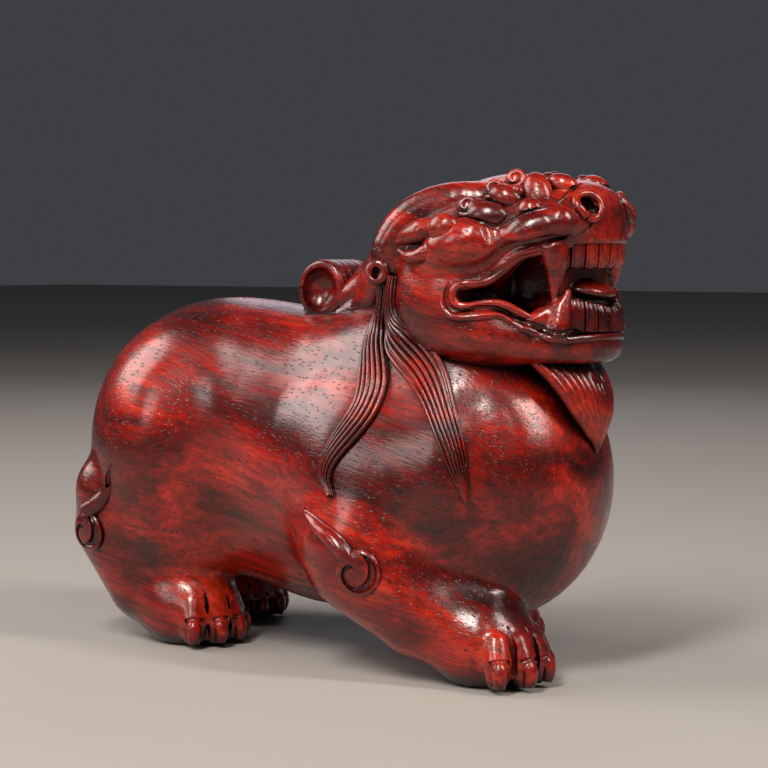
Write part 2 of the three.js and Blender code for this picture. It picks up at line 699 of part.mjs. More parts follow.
// A heap that gives back the cheapest entry first
class CheapestFirst {
  constructor() {
    this.entries = [];
  }

  push(entry) {
    const heap = this.entries;
    let at = heap.length;
    heap.push(entry);
    while (at > 0) {
      const above = (at - 1) >> 1;
      if (heap[above].cost <= entry.cost) break;
      heap[at] = heap[above];
      at = above;
    }
    heap[at] = entry;
  }

  pop() {
    const heap = this.entries;
    const best = heap[0];
    const last = heap.pop();
    if (heap.length === 0) return best;
    let at = 0;
    for (;;) {
      let below = at * 2 + 1;
      if (below >= heap.length) break;
      if (below + 1 < heap.length && heap[below + 1].cost < heap[below].cost) below += 1;
      if (heap[below].cost >= last.cost) break;
      heap[at] = heap[below];
      at = below;
    }
    heap[at] = last;
    return best;
  }
}

// The sum of squared distances to planes, kept as the ten numbers of a symmetric matrix
function addPlane(quadrics, v, [a, b, c, d], weight) {
  const terms = [a * a, a * b, a * c, a * d, b * b, b * c, b * d, c * c, c * d, d * d];
  terms.forEach((term, k) => {
    quadrics[v * 10 + k] += term * weight;
  });
}

function quadricCost(q, { x, y, z }) {
  return q[0] * x * x + 2 * q[1] * x * y + 2 * q[2] * x * z + 2 * q[3] * x
    + q[4] * y * y + 2 * q[5] * y * z + 2 * q[6] * y + q[7] * z * z + 2 * q[8] * z + q[9];
}

// The point with the least cost, where the planes settle one that stays near the edge
const matrix = new THREE.Matrix3();

function bestPoint(q, a, b) {
  const middle = a.clone().add(b).multiplyScalar(0.5);
  matrix.set(q[0], q[1], q[2], q[1], q[4], q[5], q[2], q[5], q[7]);
  const size = q[0] + q[4] + q[7];
  if (Math.abs(matrix.determinant()) > 1e-4 * size ** 3) {
    const solved = new THREE.Vector3(-q[3], -q[6], -q[8]).applyMatrix3(matrix.invert());
    if (solved.distanceToSquared(middle) < a.distanceToSquared(b)) return solved;
  }
  return middle;
}

// Edges are drawn together, cheapest first, until only the wanted number of facets is left
function thinOut({ points, triangles }, limit) {
  const places = points.map((p) => new THREE.Vector3(...p));
  const faces = triangles.map((t) => [...t]);
  const gone = new Uint8Array(faces.length);
  const around = places.map(() => []);
  const quadrics = new Float64Array(places.length * 10);
  const [u, w] = [new THREE.Vector3(), new THREE.Vector3()];
  faces.forEach((face, id) => {
    const [a, b, c] = face.map((v) => places[v]);
    const normal = u.subVectors(b, a).cross(w.subVectors(c, a));
    const area = normal.length() / 2;
    normal.normalize();
    for (const v of face) {
      around[v].push(id);
      addPlane(quadrics, v, [normal.x, normal.y, normal.z, -normal.dot(a)], area);
    }
  });

  const stamps = new Int32Array(places.length);
  const heap = new CheapestFirst();
  const sum = new Float64Array(10);
  const offer = (a, b) => {
    for (let k = 0; k < 10; k += 1) sum[k] = quadrics[a * 10 + k] + quadrics[b * 10 + k];
    const place = bestPoint(sum, places[a], places[b]);
    const lengthCost = 1e-5 * places[a].distanceToSquared(places[b]);
    heap.push({ cost: quadricCost(sum, place) + lengthCost, a, b, place, stamp: stamps[a] + stamps[b] });
  };
  for (const [a, b, c] of faces) {
    if (a < b) offer(a, b);
    if (b < c) offer(b, c);
    if (c < a) offer(c, a);
  }

  const neighbours = (v) => {
    const found = new Set();
    for (const id of around[v]) {
      for (const other of faces[id]) if (other !== v) found.add(other);
    }
    return found;
  };

  // A facet may turn a little when its corner moves, but not fold over or become a sliver
  const [e0, e1, e2, e3] = [0, 1, 2, 3].map(() => new THREE.Vector3());
  const staysGood = (v, other, place) => {
    for (const id of around[v]) {
      const face = faces[id];
      if (face.includes(other)) continue;
      const at = face.indexOf(v);
      const [p, q] = [places[face[(at + 1) % 3]], places[face[(at + 2) % 3]]];
      const before = e0.subVectors(p, places[v]).cross(e1.subVectors(q, places[v]));
      const after = e2.subVectors(p, place).cross(e3.subVectors(q, place));
      const [was, is] = [before.length(), after.length()];
      if (before.dot(after) < 0.3 * was * is) return false;
      const longest = Math.max(
        p.distanceToSquared(q), p.distanceToSquared(place), q.distanceToSquared(place));
      if (is < Math.min(0.05 * longest, 0.5 * was)) return false;
    }
    return true;
  };

  let left = faces.length;
  while (left > limit && heap.entries.length > 0) {
    const { a, b, place, stamp } = heap.pop();
    if (around[a].length === 0 || around[b].length === 0 || stamp !== stamps[a] + stamps[b]) continue;
    const [near, beside] = [neighbours(a), neighbours(b)];
    if (!near.has(b)) continue;
    let shared = 0;
    for (const v of near) shared += Number(beside.has(v));
    if (shared !== 2 || !staysGood(a, b, place) || !staysGood(b, a, place)) continue;
    places[a].copy(place);
    for (let k = 0; k < 10; k += 1) quadrics[a * 10 + k] += quadrics[b * 10 + k];
    for (const id of around[b]) {
      const face = faces[id];
      if (face.includes(a)) {
        gone[id] = 1;
        left -= 1;
        for (const v of face) if (v !== b) around[v] = around[v].filter((other) => other !== id);
      } else {
        face[face.indexOf(b)] = a;
        around[a].push(id);
      }
    }
    around[b] = [];
    stamps[a] += 1;
    stamps[b] += 1;
    for (const v of neighbours(a)) offer(Math.min(a, v), Math.max(a, v));
  }
  return { places, faces: faces.filter((_, id) => !gone[id]) };
}

function toIndexed({ places, faces }) {
  const used = new Map();
  const corners = [];
  const ids = faces.flat().map((v) => {
    if (!used.has(v)) {
      used.set(v, corners.length / 3);
      corners.push(...places[v].toArray());
    }
    return used.get(v);
  });
  const geometry = new THREE.BufferGeometry();
  geometry.setAttribute('position', new THREE.Float32BufferAttribute(corners, 3));
  return geometry.setIndex(ids);
}

// A field becomes a solid block: sampled in a box, skinned, thinned out
function toBlock(field, low, high, { step, facets }) {
  const skin = largestSkin(facet(field, low, high, step * mm));
  return toManifold(toIndexed(thinOut(skin, facets)).scale(share, share, share));
}

// The facets that joining and cutting leave are thinned out too
function thinBlock(block) {
  const { vertProperties, triVerts } = block.getMesh();
  const inThrees = (list) => Array.from({ length: list.length / 3 }, (_, i) => list.slice(i * 3, i * 3 + 3));
  const skin = largestSkin({ points: inThrees(vertProperties), triangles: inThrees(triVerts) });
  return toManifold(toIndexed(thinOut(skin, facetLimit)));
}

// Everything below the table is planed off, which leaves a flat sole under each paw
function planeSoles(block) {
  const [length, width, depth] = [200 * share, 100 * share, 10 * share];
  return block.subtract(toManifold(new THREE.BoxGeometry(length, width, depth).translate(0, 0, -depth / 2)));
}

function toGeometry(block) {
  const { vertProperties, triVerts } = block.getMesh();
  const indexed = new THREE.BufferGeometry();
  indexed.setAttribute('position', new THREE.BufferAttribute(new Float32Array(vertProperties), 3));
  indexed.setIndex(new THREE.BufferAttribute(new Uint32Array(triVerts), 1));
  const flat = indexed.toNonIndexed();
  flat.computeBoundingBox();
  const middle = flat.boundingBox.getCenter(new THREE.Vector3());
  flat.translate(-middle.x, -middle.y, 0);
  flat.computeVertexNormals();
  return flat;
}

const bodyBlock = toBlock(body, [-66, -32, -4], [46, 32, 66], bodySampling);
const headBlock = toBlock(head, [-10, -20, 42], [50, 20, 84], headSampling);
const joined = raised.reduce((block, detail) => block.add(detail), bodyBlock.add(headBlock));
const carved = cutOut.reduce((block, detail) => block.subtract(detail), joined);

const rosewood = new THREE.MeshStandardMaterial({ color: 0x7a1a12, roughness: 0.32, metalness: 0 });
const figure = new THREE.Mesh(toGeometry(planeSoles(thinBlock(carved))), rosewood);
figure.name = 'figure';

const pixiu = new THREE.Group();
pixiu.add(figure);

export default pixiu;
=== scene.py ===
import json
import math
import bpy
import numpy as np
from mathutils import Matrix, Vector

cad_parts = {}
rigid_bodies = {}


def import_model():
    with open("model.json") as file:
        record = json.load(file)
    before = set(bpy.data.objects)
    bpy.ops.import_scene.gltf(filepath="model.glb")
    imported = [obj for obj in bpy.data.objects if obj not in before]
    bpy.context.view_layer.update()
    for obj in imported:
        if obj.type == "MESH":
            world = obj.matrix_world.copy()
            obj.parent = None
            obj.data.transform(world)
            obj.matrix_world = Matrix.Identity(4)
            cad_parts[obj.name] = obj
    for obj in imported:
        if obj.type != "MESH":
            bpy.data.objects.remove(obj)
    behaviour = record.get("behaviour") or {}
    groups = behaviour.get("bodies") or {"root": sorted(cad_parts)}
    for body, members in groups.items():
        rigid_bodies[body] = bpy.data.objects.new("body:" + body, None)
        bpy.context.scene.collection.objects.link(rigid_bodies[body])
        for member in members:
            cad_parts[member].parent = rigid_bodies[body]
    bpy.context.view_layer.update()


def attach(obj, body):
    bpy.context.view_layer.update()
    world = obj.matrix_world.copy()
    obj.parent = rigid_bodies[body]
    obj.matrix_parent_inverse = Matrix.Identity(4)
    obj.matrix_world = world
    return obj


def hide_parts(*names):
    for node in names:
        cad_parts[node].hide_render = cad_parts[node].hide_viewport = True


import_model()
print("frame loaded")

# All carving is measured in millimetres from the middle of the trunk, +X to the head, and moved
# into the frame at the end. The near side has y below zero.
nearSide, farSide = -1, 1
bothSides = (nearSide, farSide)

# camera: the photograph's viewing angle, a long lens a little above the table
photoView = {
    "azimuth": 36,  # degrees
    "elevation": 3.5,
    "lens": 100,
    "distance": 0.35,  # metres
    "aim": (0.0077, -0.0001, 0.0442),
}


def setCamera():
    turn, tip = math.radians(photoView["azimuth"]), math.radians(photoView["elevation"])
    back = Vector((math.sin(turn) * math.cos(tip), -math.cos(turn) * math.cos(tip), math.sin(tip)))
    bpy.ops.object.camera_add(location=Vector(photoView["aim"]) + back * photoView["distance"])
    camera = bpy.context.object
    camera.rotation_euler = back.to_track_quat("Z", "Y").to_euler()
    camera.data.lens = photoView["lens"]
    camera.data.clip_start = 0.01
    bpy.context.scene.camera = camera


bpy.ops.object.select_all(action="DESELECT")
setCamera()

# how finely the block is carved
carving = {
    "bodyBox": ((-66, -32, -4), (46, 32, 66)),  # where each field is sampled
    "bodyStep": 0.8,  # mm between the points of its grid
    "headBox": ((-10, -20, 42), (50, 20, 84)),
    "headStep": 0.36,
    "creaseAngle": 38,  # degrees, sharper edges stay crisp
    "triangles": 195000,  # the most that are left after thinning
    "intoFrame": (7.7, -0.145, 0),  # mm, from the trunk's middle to the frame's origin
}


# Primitives and modifiers can't melt one mass softly into another the way carved wood does, so the
# big masses are two fields, sampled and skinned here. Everything finer is curves and primitives.
# A field gives each point's distance to the wood, below zero inside it.
farOff = 1000.0


def melt(a, b, width):
    if width <= 0:
        return np.minimum(a, b)
    near = np.maximum(width - np.abs(a - b), 0) / width
    return np.minimum(a, b) - near * near * width / 4


class Masses:
    def __init__(self):
        self.steps = []

    def add(self, distance, low, high, width, cut=False):
        margin = width + 3
        low, high = np.array(low, float) - margin, np.array(high, float) + margin
        self.steps.append((distance, low, high, width, cut))

    def at(self, points):
        value = np.full(len(points), farOff)
        for distance, low, high, width, cut in self.steps:
            inside = np.all((points >= low) & (points <= high), axis=1)
            if not inside.any():
                continue
            d = distance(points[inside])
            value[inside] = -melt(-value[inside], d, width) if cut else melt(value[inside], d, width)
        return value

    def lump(self, centre, radii, width, pitch=0, cut=False):
        centre, radii = np.array(centre, float), np.array(radii, float)
        turn = np.array(Matrix.Rotation(math.radians(-pitch), 3, "Y"))

        def distance(points):
            local = (points - centre) @ turn
            k0 = np.linalg.norm(local / radii, axis=1)
            k1 = np.linalg.norm(local / radii**2, axis=1)
            return k0 * (k0 - 1) / np.maximum(k1, 1e-9)

        reach = radii.max()
        self.add(distance, centre - reach, centre + reach, width, cut)

    def limb(self, stops, width, cut=False):
        stops = np.array(stops, float)
        fattest = stops[:, 3].max()

        def distance(points):
            nearest = np.full(len(points), farOff)
            for start, end in zip(stops[:-1], stops[1:]):
                way = end[:3] - start[:3]
                t = np.clip((points - start[:3]) @ way / (way @ way), 0, 1)
                gap = np.linalg.norm(points - start[:3] - t[:, None] * way, axis=1)
                nearest = np.minimum(nearest, gap - start[3] - (end[3] - start[3]) * t)
            return nearest

        self.add(distance, stops[:, :3].min(0) - fattest, stops[:, :3].max(0) + fattest, width, cut)

    def drum(self, middle, radius, bottom, top, rounding, width):
        def distance(points):
            out = np.hypot(points[:, 0] - middle, points[:, 1]) - radius + rounding
            over = np.abs(points[:, 2] - (bottom + top) / 2) - (top - bottom) / 2 + rounding
            inside = np.minimum(np.maximum(out, over), 0)
            return np.hypot(np.maximum(out, 0), np.maximum(over, 0)) + inside - rounding

        self.add(distance, (middle - radius, -radius, bottom), (middle + radius, radius, top), width)

    def lumpPair(self, centre, radii, width, cut=False):
        for side in bothSides:
            self.lump((centre[0], centre[1] * side, centre[2]), radii, width, cut=cut)

    def limbPair(self, stops, width, cut=False):
        for side in bothSides:
            self.limb(toSide(stops, side), width, cut)


# every shape that is there twice is written for the far side and mirrored for the near one
def toSide(stops, side):
    return [(stop[0], stop[1] * side, *stop[2:]) for stop in stops]


# a smooth way through all the stops, with their radii blended as well
def pointsAlong(stops, count):
    stops = np.array(stops, float)
    padded = np.vstack([2 * stops[0] - stops[1], stops, 2 * stops[-1] - stops[-2]])
    t = np.linspace(0, len(stops) - 1, count)
    slot = np.minimum(t.astype(int), len(stops) - 2)
    f = (t - slot)[:, None]
    p0, p1, p2, p3 = (padded[slot + k] for k in range(4))
    bend = -p0 + 3 * p1 - 3 * p2 + p3
    return 0.5 * (2 * p1 + (p2 - p0) * f + (2 * p0 - 5 * p1 + 4 * p2 - p3) * f**2 + bend * f**3)


# trunk: middle, radii, how widely each melts into those before it, and its pitch in degrees
trunk = {
    "rump": ((-32, 0, 35.6), (24.6, 20.8, 22.4), 0, 0),
    "barrel": ((-8, 0, 31.6), (32, 19.6, 24.4), 9, -4),
    "chest": ((19, 0, 30), (21.2, 21, 23), 5, 0),
    "neck": ((10, 0, 46), (17, 14, 13), 8, 0),
}
stride = {"fore": 17, "hind": 10}  # how far the far legs are set back

body = Masses()
for centre, radii, width, pitch in trunk.values():
    body.lump(centre, radii, width, pitch)


def setBack(leg, side):
    return 0 if side == nearSide else -stride[leg]


def addHindLeg(side):
    back = setBack("hind", side)
    body.lump((-35 + back * 0.25, side * 10.5, 31), (16.5, 12.8, 22), 4.5)  # haunch
    thigh = (-44.5 + back * 0.6, side * 13.5, 19.5, 9)
    shank = (-40 + back, side * 12.5, 10, 7.6)
    ankle = (-33 + back, side * 11.5, 7, 6.8)
    body.limb([thigh, shank, ankle], 4)
    body.lump((-32.5 + back, side * 11.5, 5.6), (8.6, 7.6, 6.8), 2.5)  # paw
    body.lump((-46.4 + back * 0.6, side * 18, 25.6), (4.2, 4.4, 5.4), 2.4)  # hock


def addForeLeg(side):
    back = setBack("fore", side)
    body.lump((7 + back * 0.2, side * 13.3, 27.5), (14, 10.5, 19), 4.5, 18)  # shoulder
    elbow = (8 + back * 0.5, side * 16, 19, 9.5)
    forearm = (18 + back, side * 14.5, 11.5, 8.4)
    wrist = (27 + back, side * 12.5, 7.6, 7.2)
    body.limb([elbow, forearm, wrist], 4.5)
    body.lump((28 + back, side * 12.2, 5.8), (8.4, 7.8, 6.8), 2.5)  # paw


# toes: four round toes fan out at the front of each paw
paws = {
    "toes": 4,
    "fan": 31,  # degrees from one toe to the next
    "fore": {"middle": (28.6, 12.2), "reach": 7.5, "toe": 2.25, "melt": 0.5},
    "hind": {"middle": (-31.9, 11.5), "reach": 6.9, "toe": 2.3, "melt": 1.2},
}


def fanned(leg, side, turn, profile):
    x, y = paws[leg]["middle"]
    angle = math.radians(turn * paws["fan"])
    forward, sideways = math.cos(angle), math.sin(angle)
    x += setBack(leg, side)
    return [(x + forward * out, y * side + sideways * out, height, r) for out, height, r in profile]


def toeTurns():
    return [k - (paws["toes"] - 1) / 2 for k in range(paws["toes"])]


def addToeMasses(leg, side):
    paw = paws[leg]
    out, thick = paw["reach"], paw["toe"]
    for turn in toeTurns():
        toe = [
            (out * 0.5, 9, thick * 0.8), (out * 0.86, 7, thick), (out, 4.6, thick * 1.05),
            (out, 2.4, thick * 0.85),
        ]
        body.limb(fanned(leg, side, turn, toe), paw["melt"])


for side in bothSides:
    addHindLeg(side)
    addToeMasses("hind", side)
for side in bothSides:
    addForeLeg(side)
    addToeMasses("fore", side)

# soft valleys in front of the haunch and between shoulder and chest: how widely each melts, its way
valleys = {
    "haunch": (13, [
        (-22.8, 24.8, 46, 0), (-21.6, 25.2, 39, 1), (-20.4, 24.8, 31, 2), (-19.6, 23.4, 22, 1.6)]),
    "chest": (6, [
        (29, 17.6, 43, 0.6), (31.6, 18.6, 36, 1.8), (32, 19, 28, 1.8), (29.8, 19, 18, 1)]),
}
for width, way in valleys.values():
    body.limbPair(pointsAlong(way, 12), width, cut=True)

# mouth: the lips' way round the muzzle, corner to front, with the height of each lip
mouth = {
    "archMiddle": 32.7,
    "route": [
        (24.6, -15.3), (27.6, -13.7), (30.4, -12.1), (33.4, -10.9),
        (37.3, -9.5), (40.4, -7.3), (42.6, -4), (43.3, 0),
    ],
    "upperLip": [59.7, 60.4, 62.5, 65.1, 66, 66.8, 67, 67],
    "lowerLip": [57.9, 57.9, 58, 56.6, 55.2, 54.7, 54.6, 54.6],
    "lipRadius": 0.65,
}
head = Masses()


def lipHeight(x, heights):
    return np.interp(x, [stop[0] for stop in mouth["route"]], heights)


def addHeadMasses():
    head.lump((21, 0, 64), (14, 14.8, 12), 1.2)  # skull
    head.lump((25.5, 0, 70), (12, 9, 8), 2)  # crown
    head.lumpPair((20, 7, 58), (12, 9.2, 10), 3)  # cheeks
    head.lumpPair((26.5, 6.5, 66.5), (9, 8.2, 6.8), 3)  # cheek bones
    head.drum(mouth["archMiddle"], 11.1, 62, 74.6, 4, 3)  # muzzle
    head.lump((36.6, 0, 72.2), (6.4, 8.2, 4.6), 1.5)  # nose
    head.lumpPair((38.6, 6.4, 70.5), (3.6, 3.4, 3), 1)  # wings of the nose
    head.drum(mouth["archMiddle"] - 0.5, 10.9, 48.9, 54.5, 2.6, 3)  # lower jaw
    head.lumpPair((23.5, 9, 53), (10, 6.2, 4.8), 3)  # jaw hinges
    crest = [
        (17, 0, 72.2, 4.6), (10, 0, 70.4, 5), (5, 0, 66.8, 5.1), (1.4, 0, 61.5, 4.8),
        (-1.4, 0, 54, 4.4),
    ]
    head.limb(crest, 1.5)
    head.limbPair([(5.2, 3.4, 66.8, 3.2), (1.6, 3.4, 61.5, 3.2), (-1.4, 3.4, 54.4, 2.8)], 1.5)
    head.lump((8, 0, 61), (6.5, 5.5, 6), 2)  # nape
    horn = [
        (26, 5.6, 74.6, 1.2), (21, 7.4, 74.2, 2.5), (16, 8.6, 73, 3), (12, 10.2, 70.4, 3.2),
        (9.6, 11.6, 66.8, 2.8), (8.9, 12.4, 63.6, 2),
    ]
    head.limbPair(pointsAlong(horn, 16), 2)
    recess = [
        (27, 8.8, 75.2, 0.7), (22.5, 11.2, 74, 1.3), (18, 13.2, 71.6, 1.5), (14, 14.8, 68.6, 1.5),
        (12.4, 15.4, 65, 1.2),
    ]
    head.limbPair(pointsAlong(recess, 12), 0.5, cut=True)


def openMouth():
    corner = mouth["route"][0][0] + 0.2
    middle = mouth["archMiddle"]

    def gape(points):
        x, z = points[:, 0], points[:, 2]
        above = (z - lipHeight(x, mouth["upperLip"])) * 0.85
        below = (lipHeight(x, mouth["lowerLip"]) - z) * 0.85
        return np.maximum(np.maximum(above, below), corner - x)

    def hollow(points):
        x, y, z = points.T
        return np.maximum(np.hypot(x - middle, y) - 8.6, np.maximum(55 - z, z - 67.3))

    def gum(bottom, top):
        def distance(points):
            x, y, z = points.T
            ring = np.abs(np.hypot(x - middle, y) - 8.9) - 0.6
            return np.maximum(np.maximum(ring, middle + 2.6 - x), np.maximum(bottom - z, z - top))

        head.add(distance, (middle, -11, bottom), (middle + 12, 11, top), 0.4)

    head.add(gape, (corner, -20, 50), (48, 20, 70), 0.8, cut=True)
    head.add(hollow, (24, -9, 55), (42, 9, 67.3), 0.6, cut=True)
    head.lump((29, 0, 61), (8, 4.6, 9), 1)  # back of the throat
    head.lumpPair((25.2, 6, 61), (2.6, 3.6, 8), 1)  # inner skin of the cheek
    head.lump((37, 0, 61), (1.6, 8.2, 9), 0.5)  # wall behind the fangs
    head.lump((38.2, 0, 60.2), (4.7, 4.8, 1.5), 0.3, -10)  # tongue, its tip lowered
    head.lump((35, 0, 57.6), (6.4, 5.4, 2.8), 0.8)  # root of the tongue
    gum(64, 69)
    gum(52.5, 57.2)
    fang = [(37.6, 8.4, 67.4, 2.4), (37.9, 8.4, 64.8, 2), (37.8, 8.2, 61.8, 1.2), (37.5, 8.1, 58.8, 0.4)]
    head.limbPair(pointsAlong(fang, 10), 0.5)
    lowerFang = [(38.2, 8, 54.2, 2.2), (38.7, 7.7, 56.8, 1.5), (39.4, 7.2, 59.8, 0.5)]
    head.limbPair(pointsAlong(lowerFang, 8), 0.4)
    web = [(33.4, 9.9, 54.2, 1.4), (34.8, 9.4, 55.2, 1.5), (36.4, 8.7, 56.2, 1.4), (38, 7.9, 57.6, 0.9)]
    head.limbPair(pointsAlong(web, 8), 0.9)
    head.lumpPair((38.4, 8.7, 65.5), (1, 0.9, 1.1), 0.3)  # bump beside the fang


# the folds between the lip, the nose and the brow
def foldCheeks():
    bulge = [(18.6, 12.8, 64.6, 3), (22.4, 13.4, 66.4, 4), (26, 13, 67.4, 3.9), (28.4, 12.4, 66.8, 2.8)]
    head.limbPair(pointsAlong(bulge, 14), 1.2)
    fold = [(31.8, 11.6, 67.4, 1.9), (34.2, 10.8, 68.6, 2.9), (36.8, 9.6, 69.4, 2.7), (39.2, 8.4, 70, 2)]
    head.limbPair(pointsAlong(fold, 18), 0.9)
    head.lumpPair((38.7, 8.6, 70), (2.9, 2.8, 2.9), 0.4)  # the ball below the nostril
    dimple = [(28.8, 13.8, 71.4, 0.5), (30.4, 14.4, 69, 0.9), (31.4, 14.6, 66.6, 0.8)]
    head.limbPair(pointsAlong(dimple, 6), 1, cut=True)
    lipHollow = [
        (23.4, 17, 62.6, 0.9), (27, 15.6, 62.4, 1.1), (29.4, 14.2, 63.4, 1.1), (31.4, 13.2, 65.4, 1),
        (33.4, 12.4, 66.7, 0.8), (37, 11.2, 67.5, 0.6), (40, 9, 68.4, 0.3),
    ]
    head.limbPair(pointsAlong(lipHollow, 16), 1.2, cut=True)  # the hollow over the upper lip


addHeadMasses()
openMouth()
foldCheeks()


class Both:
    def at(self, points):
        return np.minimum(body.at(points), head.at(points))


wholeFigure = Both()


def facingOf(masses, points):
    reach = 0.1
    slopes = [masses.at(points + step) - masses.at(points - step) for step in np.eye(3) * reach]
    facing = np.stack(slopes, axis=1)
    return facing / np.maximum(np.linalg.norm(facing, axis=1), 1e-9)[:, None]


# walks each point down the slope of the field until it lies on the wood
def settleOnWood(points):
    points = np.array(points, float)
    for _ in range(5):
        points = points - facingOf(wholeFigure, points) * wholeFigure.at(points)[:, None]
    return points


cellCorners = [(i, j, k) for i in (0, 1) for j in (0, 1) for k in (0, 1)]


# The field is first sampled in coarse blocks, then finely in those that the surface may cross
def sampleWood(fieldAt, low, high, step):
    coarse, filler = 4, 50
    low, high = np.array(low, float), np.array(high, float)
    blocks = np.ceil((high - low) / (step * coarse)).astype(int)
    width = step * coarse
    axes = [low[k] + width * np.arange(blocks[k] + 1) for k in range(3)]
    places = np.stack(np.meshgrid(*axes, indexing="ij"), -1).reshape(-1, 3)
    corners = fieldAt(places).reshape(blocks + 1)
    near = np.full(blocks, farOff)
    for i, j, k in cellCorners:
        part = corners[i:i + blocks[0], j:j + blocks[1], k:k + blocks[2]]
        near = np.minimum(near, np.abs(part))
    wanted = near < width * 1.3 + 0.5
    sign = np.sign(corners[:-1, :-1, :-1]) * filler
    count = blocks * coarse + 1
    values = np.full(count, filler, np.float32)
    values[:-1, :-1, :-1] = sign.repeat(coarse, 0).repeat(coarse, 1).repeat(coarse, 2)
    fine = wanted.repeat(coarse, 0).repeat(coarse, 1).repeat(coarse, 2)
    mask = np.zeros(count, bool)
    for i, j, k in cellCorners:
        mask[i:i + count[0] - 1, j:j + count[1] - 1, k:k + count[2] - 1] |= fine
    values[mask] = fieldAt(low + np.argwhere(mask) * step)
    return values, low


# One vertex in every cell that the surface crosses, one face round every grid edge that it cuts
def skinWood(values, low, step):
    wood = values < 0
    cellCount = np.array(values.shape) - 1

    def cornerOf(grid, corner):
        i, j, k = corner
        return grid[i:i + cellCount[0], j:j + cellCount[1], k:k + cellCount[2]]

    filled = sum(cornerOf(wood, corner).astype(np.int8) for corner in cellCorners)
    crossed = (filled > 0) & (filled < 8)
    cells = np.argwhere(crossed)
    ids = np.full(cellCount, -1, np.int64)
    ids[crossed] = np.arange(len(cells))
    value = {corner: values[tuple((cells + corner).T)].astype(float) for corner in cellCorners}
    total, hits = np.zeros((len(cells), 3)), np.zeros(len(cells))
    for start in cellCorners:
        for axis in range(3):
            if start[axis] == 1:
                continue
            end = tuple(1 if k == axis else start[k] for k in range(3))
            a, b = value[start], value[end]
            cuts = (a < 0) != (b < 0)
            place = np.tile(np.array(start, float), (len(cells), 1))
            place[:, axis] += np.where(cuts, a / np.where(cuts, a - b, 1), 0)
            total[cuts] += place[cuts]
            hits[cuts] += 1
    points = low + (cells + total / hits[:, None]) * step
    faces = []
    for axis in range(3):
        before = tuple(slice(0, -1) if k == axis else slice(None) for k in range(3))
        after = tuple(slice(1, None) if k == axis else slice(None) for k in range(3))
        edges = np.argwhere(wood[before] != wood[after])
        others = [k for k in range(3) if k != axis]
        edges = edges[np.all((edges[:, others] > 0) & (edges[:, others] < cellCount[others]), axis=1)]
        first, second = np.eye(3, dtype=int)[others[0]], np.eye(3, dtype=int)[others[1]]
        ring = [edges - first - second, edges - second, edges, edges - first]
        quads = np.stack([ids[tuple(cell.T)] for cell in ring], axis=1)
        outward = wood[before][tuple(edges.T)]
        if axis == 1:
            outward = ~outward
        quads[~outward] = quads[~outward][:, ::-1]
        faces.append(quads)
    return points, np.vstack(faces)


def meshFrom(name, points, faces):
    mesh = bpy.data.meshes.new(name)
    mesh.from_pydata(points.tolist(), [], faces.tolist())
    piece = bpy.data.objects.new(name, mesh)
    bpy.context.collection.objects.link(piece)
    return piece


def carveMasses(name, masses, low, high, step):
    values, low = sampleWood(masses.at, low, high, step)
    points, faces = skinWood(values, low, step)
    for _ in range(2):  # the grid's points come to lie on the true surface
        points = points - facingOf(masses, points) * masses.at(points)[:, None]
    print(name, "carved:", len(faces), "faces")
    return meshFrom(name, points, faces)


figureBlock = carveMasses("bodyBlock", body, *carving["bodyBox"], carving["bodyStep"])
headBlock = carveMasses("headBlock", head, *carving["headBox"], carving["headStep"])

raised, grooves = [], []  # what is joined on to the block, and what is cut out of it


# A strand is a bezier curve through its stops, each (x, y, z, radius), bevelled round
def layStrands(strands, around=2, along=6, cut=False):
    bpy.ops.curve.primitive_bezier_curve_add(radius=1, location=(0, 0, 0))
    strandCurve = bpy.context.object
    strandCurve.data.splines.clear()
    for stops in strands:
        spline = strandCurve.data.splines.new("BEZIER")
        spline.bezier_points.add(len(stops) - 1)
        for point, (x, y, z, radius) in zip(spline.bezier_points, stops):
            point.co = (x, y, z)
            point.radius = radius
            point.handle_left_type = point.handle_right_type = "AUTO"
        spline.radius_interpolation = "LINEAR"
    data = strandCurve.data
    data.dimensions = "3D"
    data.bevel_depth = 1
    data.bevel_resolution = around
    data.resolution_u = along
    data.use_fill_caps = True
    (grooves if cut else raised).append(strandCurve)


def layPair(strands, **options):
    for side in bothSides:
        layStrands([toSide(stops, side) for stops in strands], **options)


def setKnob(centre, radii, cut=False, turn=(0, 0, 0)):
    bpy.ops.mesh.primitive_uv_sphere_add(
        segments=28, ring_count=18, radius=1, location=centre, rotation=turn, scale=radii)
    (grooves if cut else raised).append(bpy.context.object)


def knobPair(centre, radii, cut=False):
    for side in bothSides:
        setKnob((centre[0], centre[1] * side, centre[2]), radii, cut)


# teardrop webs are cut between the toes, and a short claw lies under a nick at the end of each toe
def addWebs(leg, side):
    tip = paws[leg]["reach"] + paws[leg]["toe"]
    web = [
        (tip - 3.4, 9.8, 0.2), (tip - 2.2, 8.6, 0.5), (tip - 1.6, 6.8, 0.75), (tip - 1.3, 4.8, 0.7),
        (tip - 1, 2.4, 0.6), (tip - 1, -0.5, 0.6),
    ]
    claw = [(tip - 1.5, 4.6, 1.1), (tip - 0.6, 3.8, 1.25), (tip - 0.3, 2.5, 1.2), (tip - 0.6, 1.1, 0.95)]
    turns = toeTurns()
    layStrands([fanned(leg, side, turn, claw) for turn in turns], around=4)
    for turn in turns[:-1]:
        layStrands([fanned(leg, side, turn + 0.5, web)], around=5, cut=True)
    for turn in turns:
        nick = []
        for lean in (-0.32, -0.16, 0, 0.16, 0.32):
            stop = (tip + 0.2 - 6 * lean * lean, 5.3 - 5 * lean * lean, 0.38)
            nick += fanned(leg, side, turn + lean, [stop])
        layStrands([nick], around=3, cut=True, along=3)


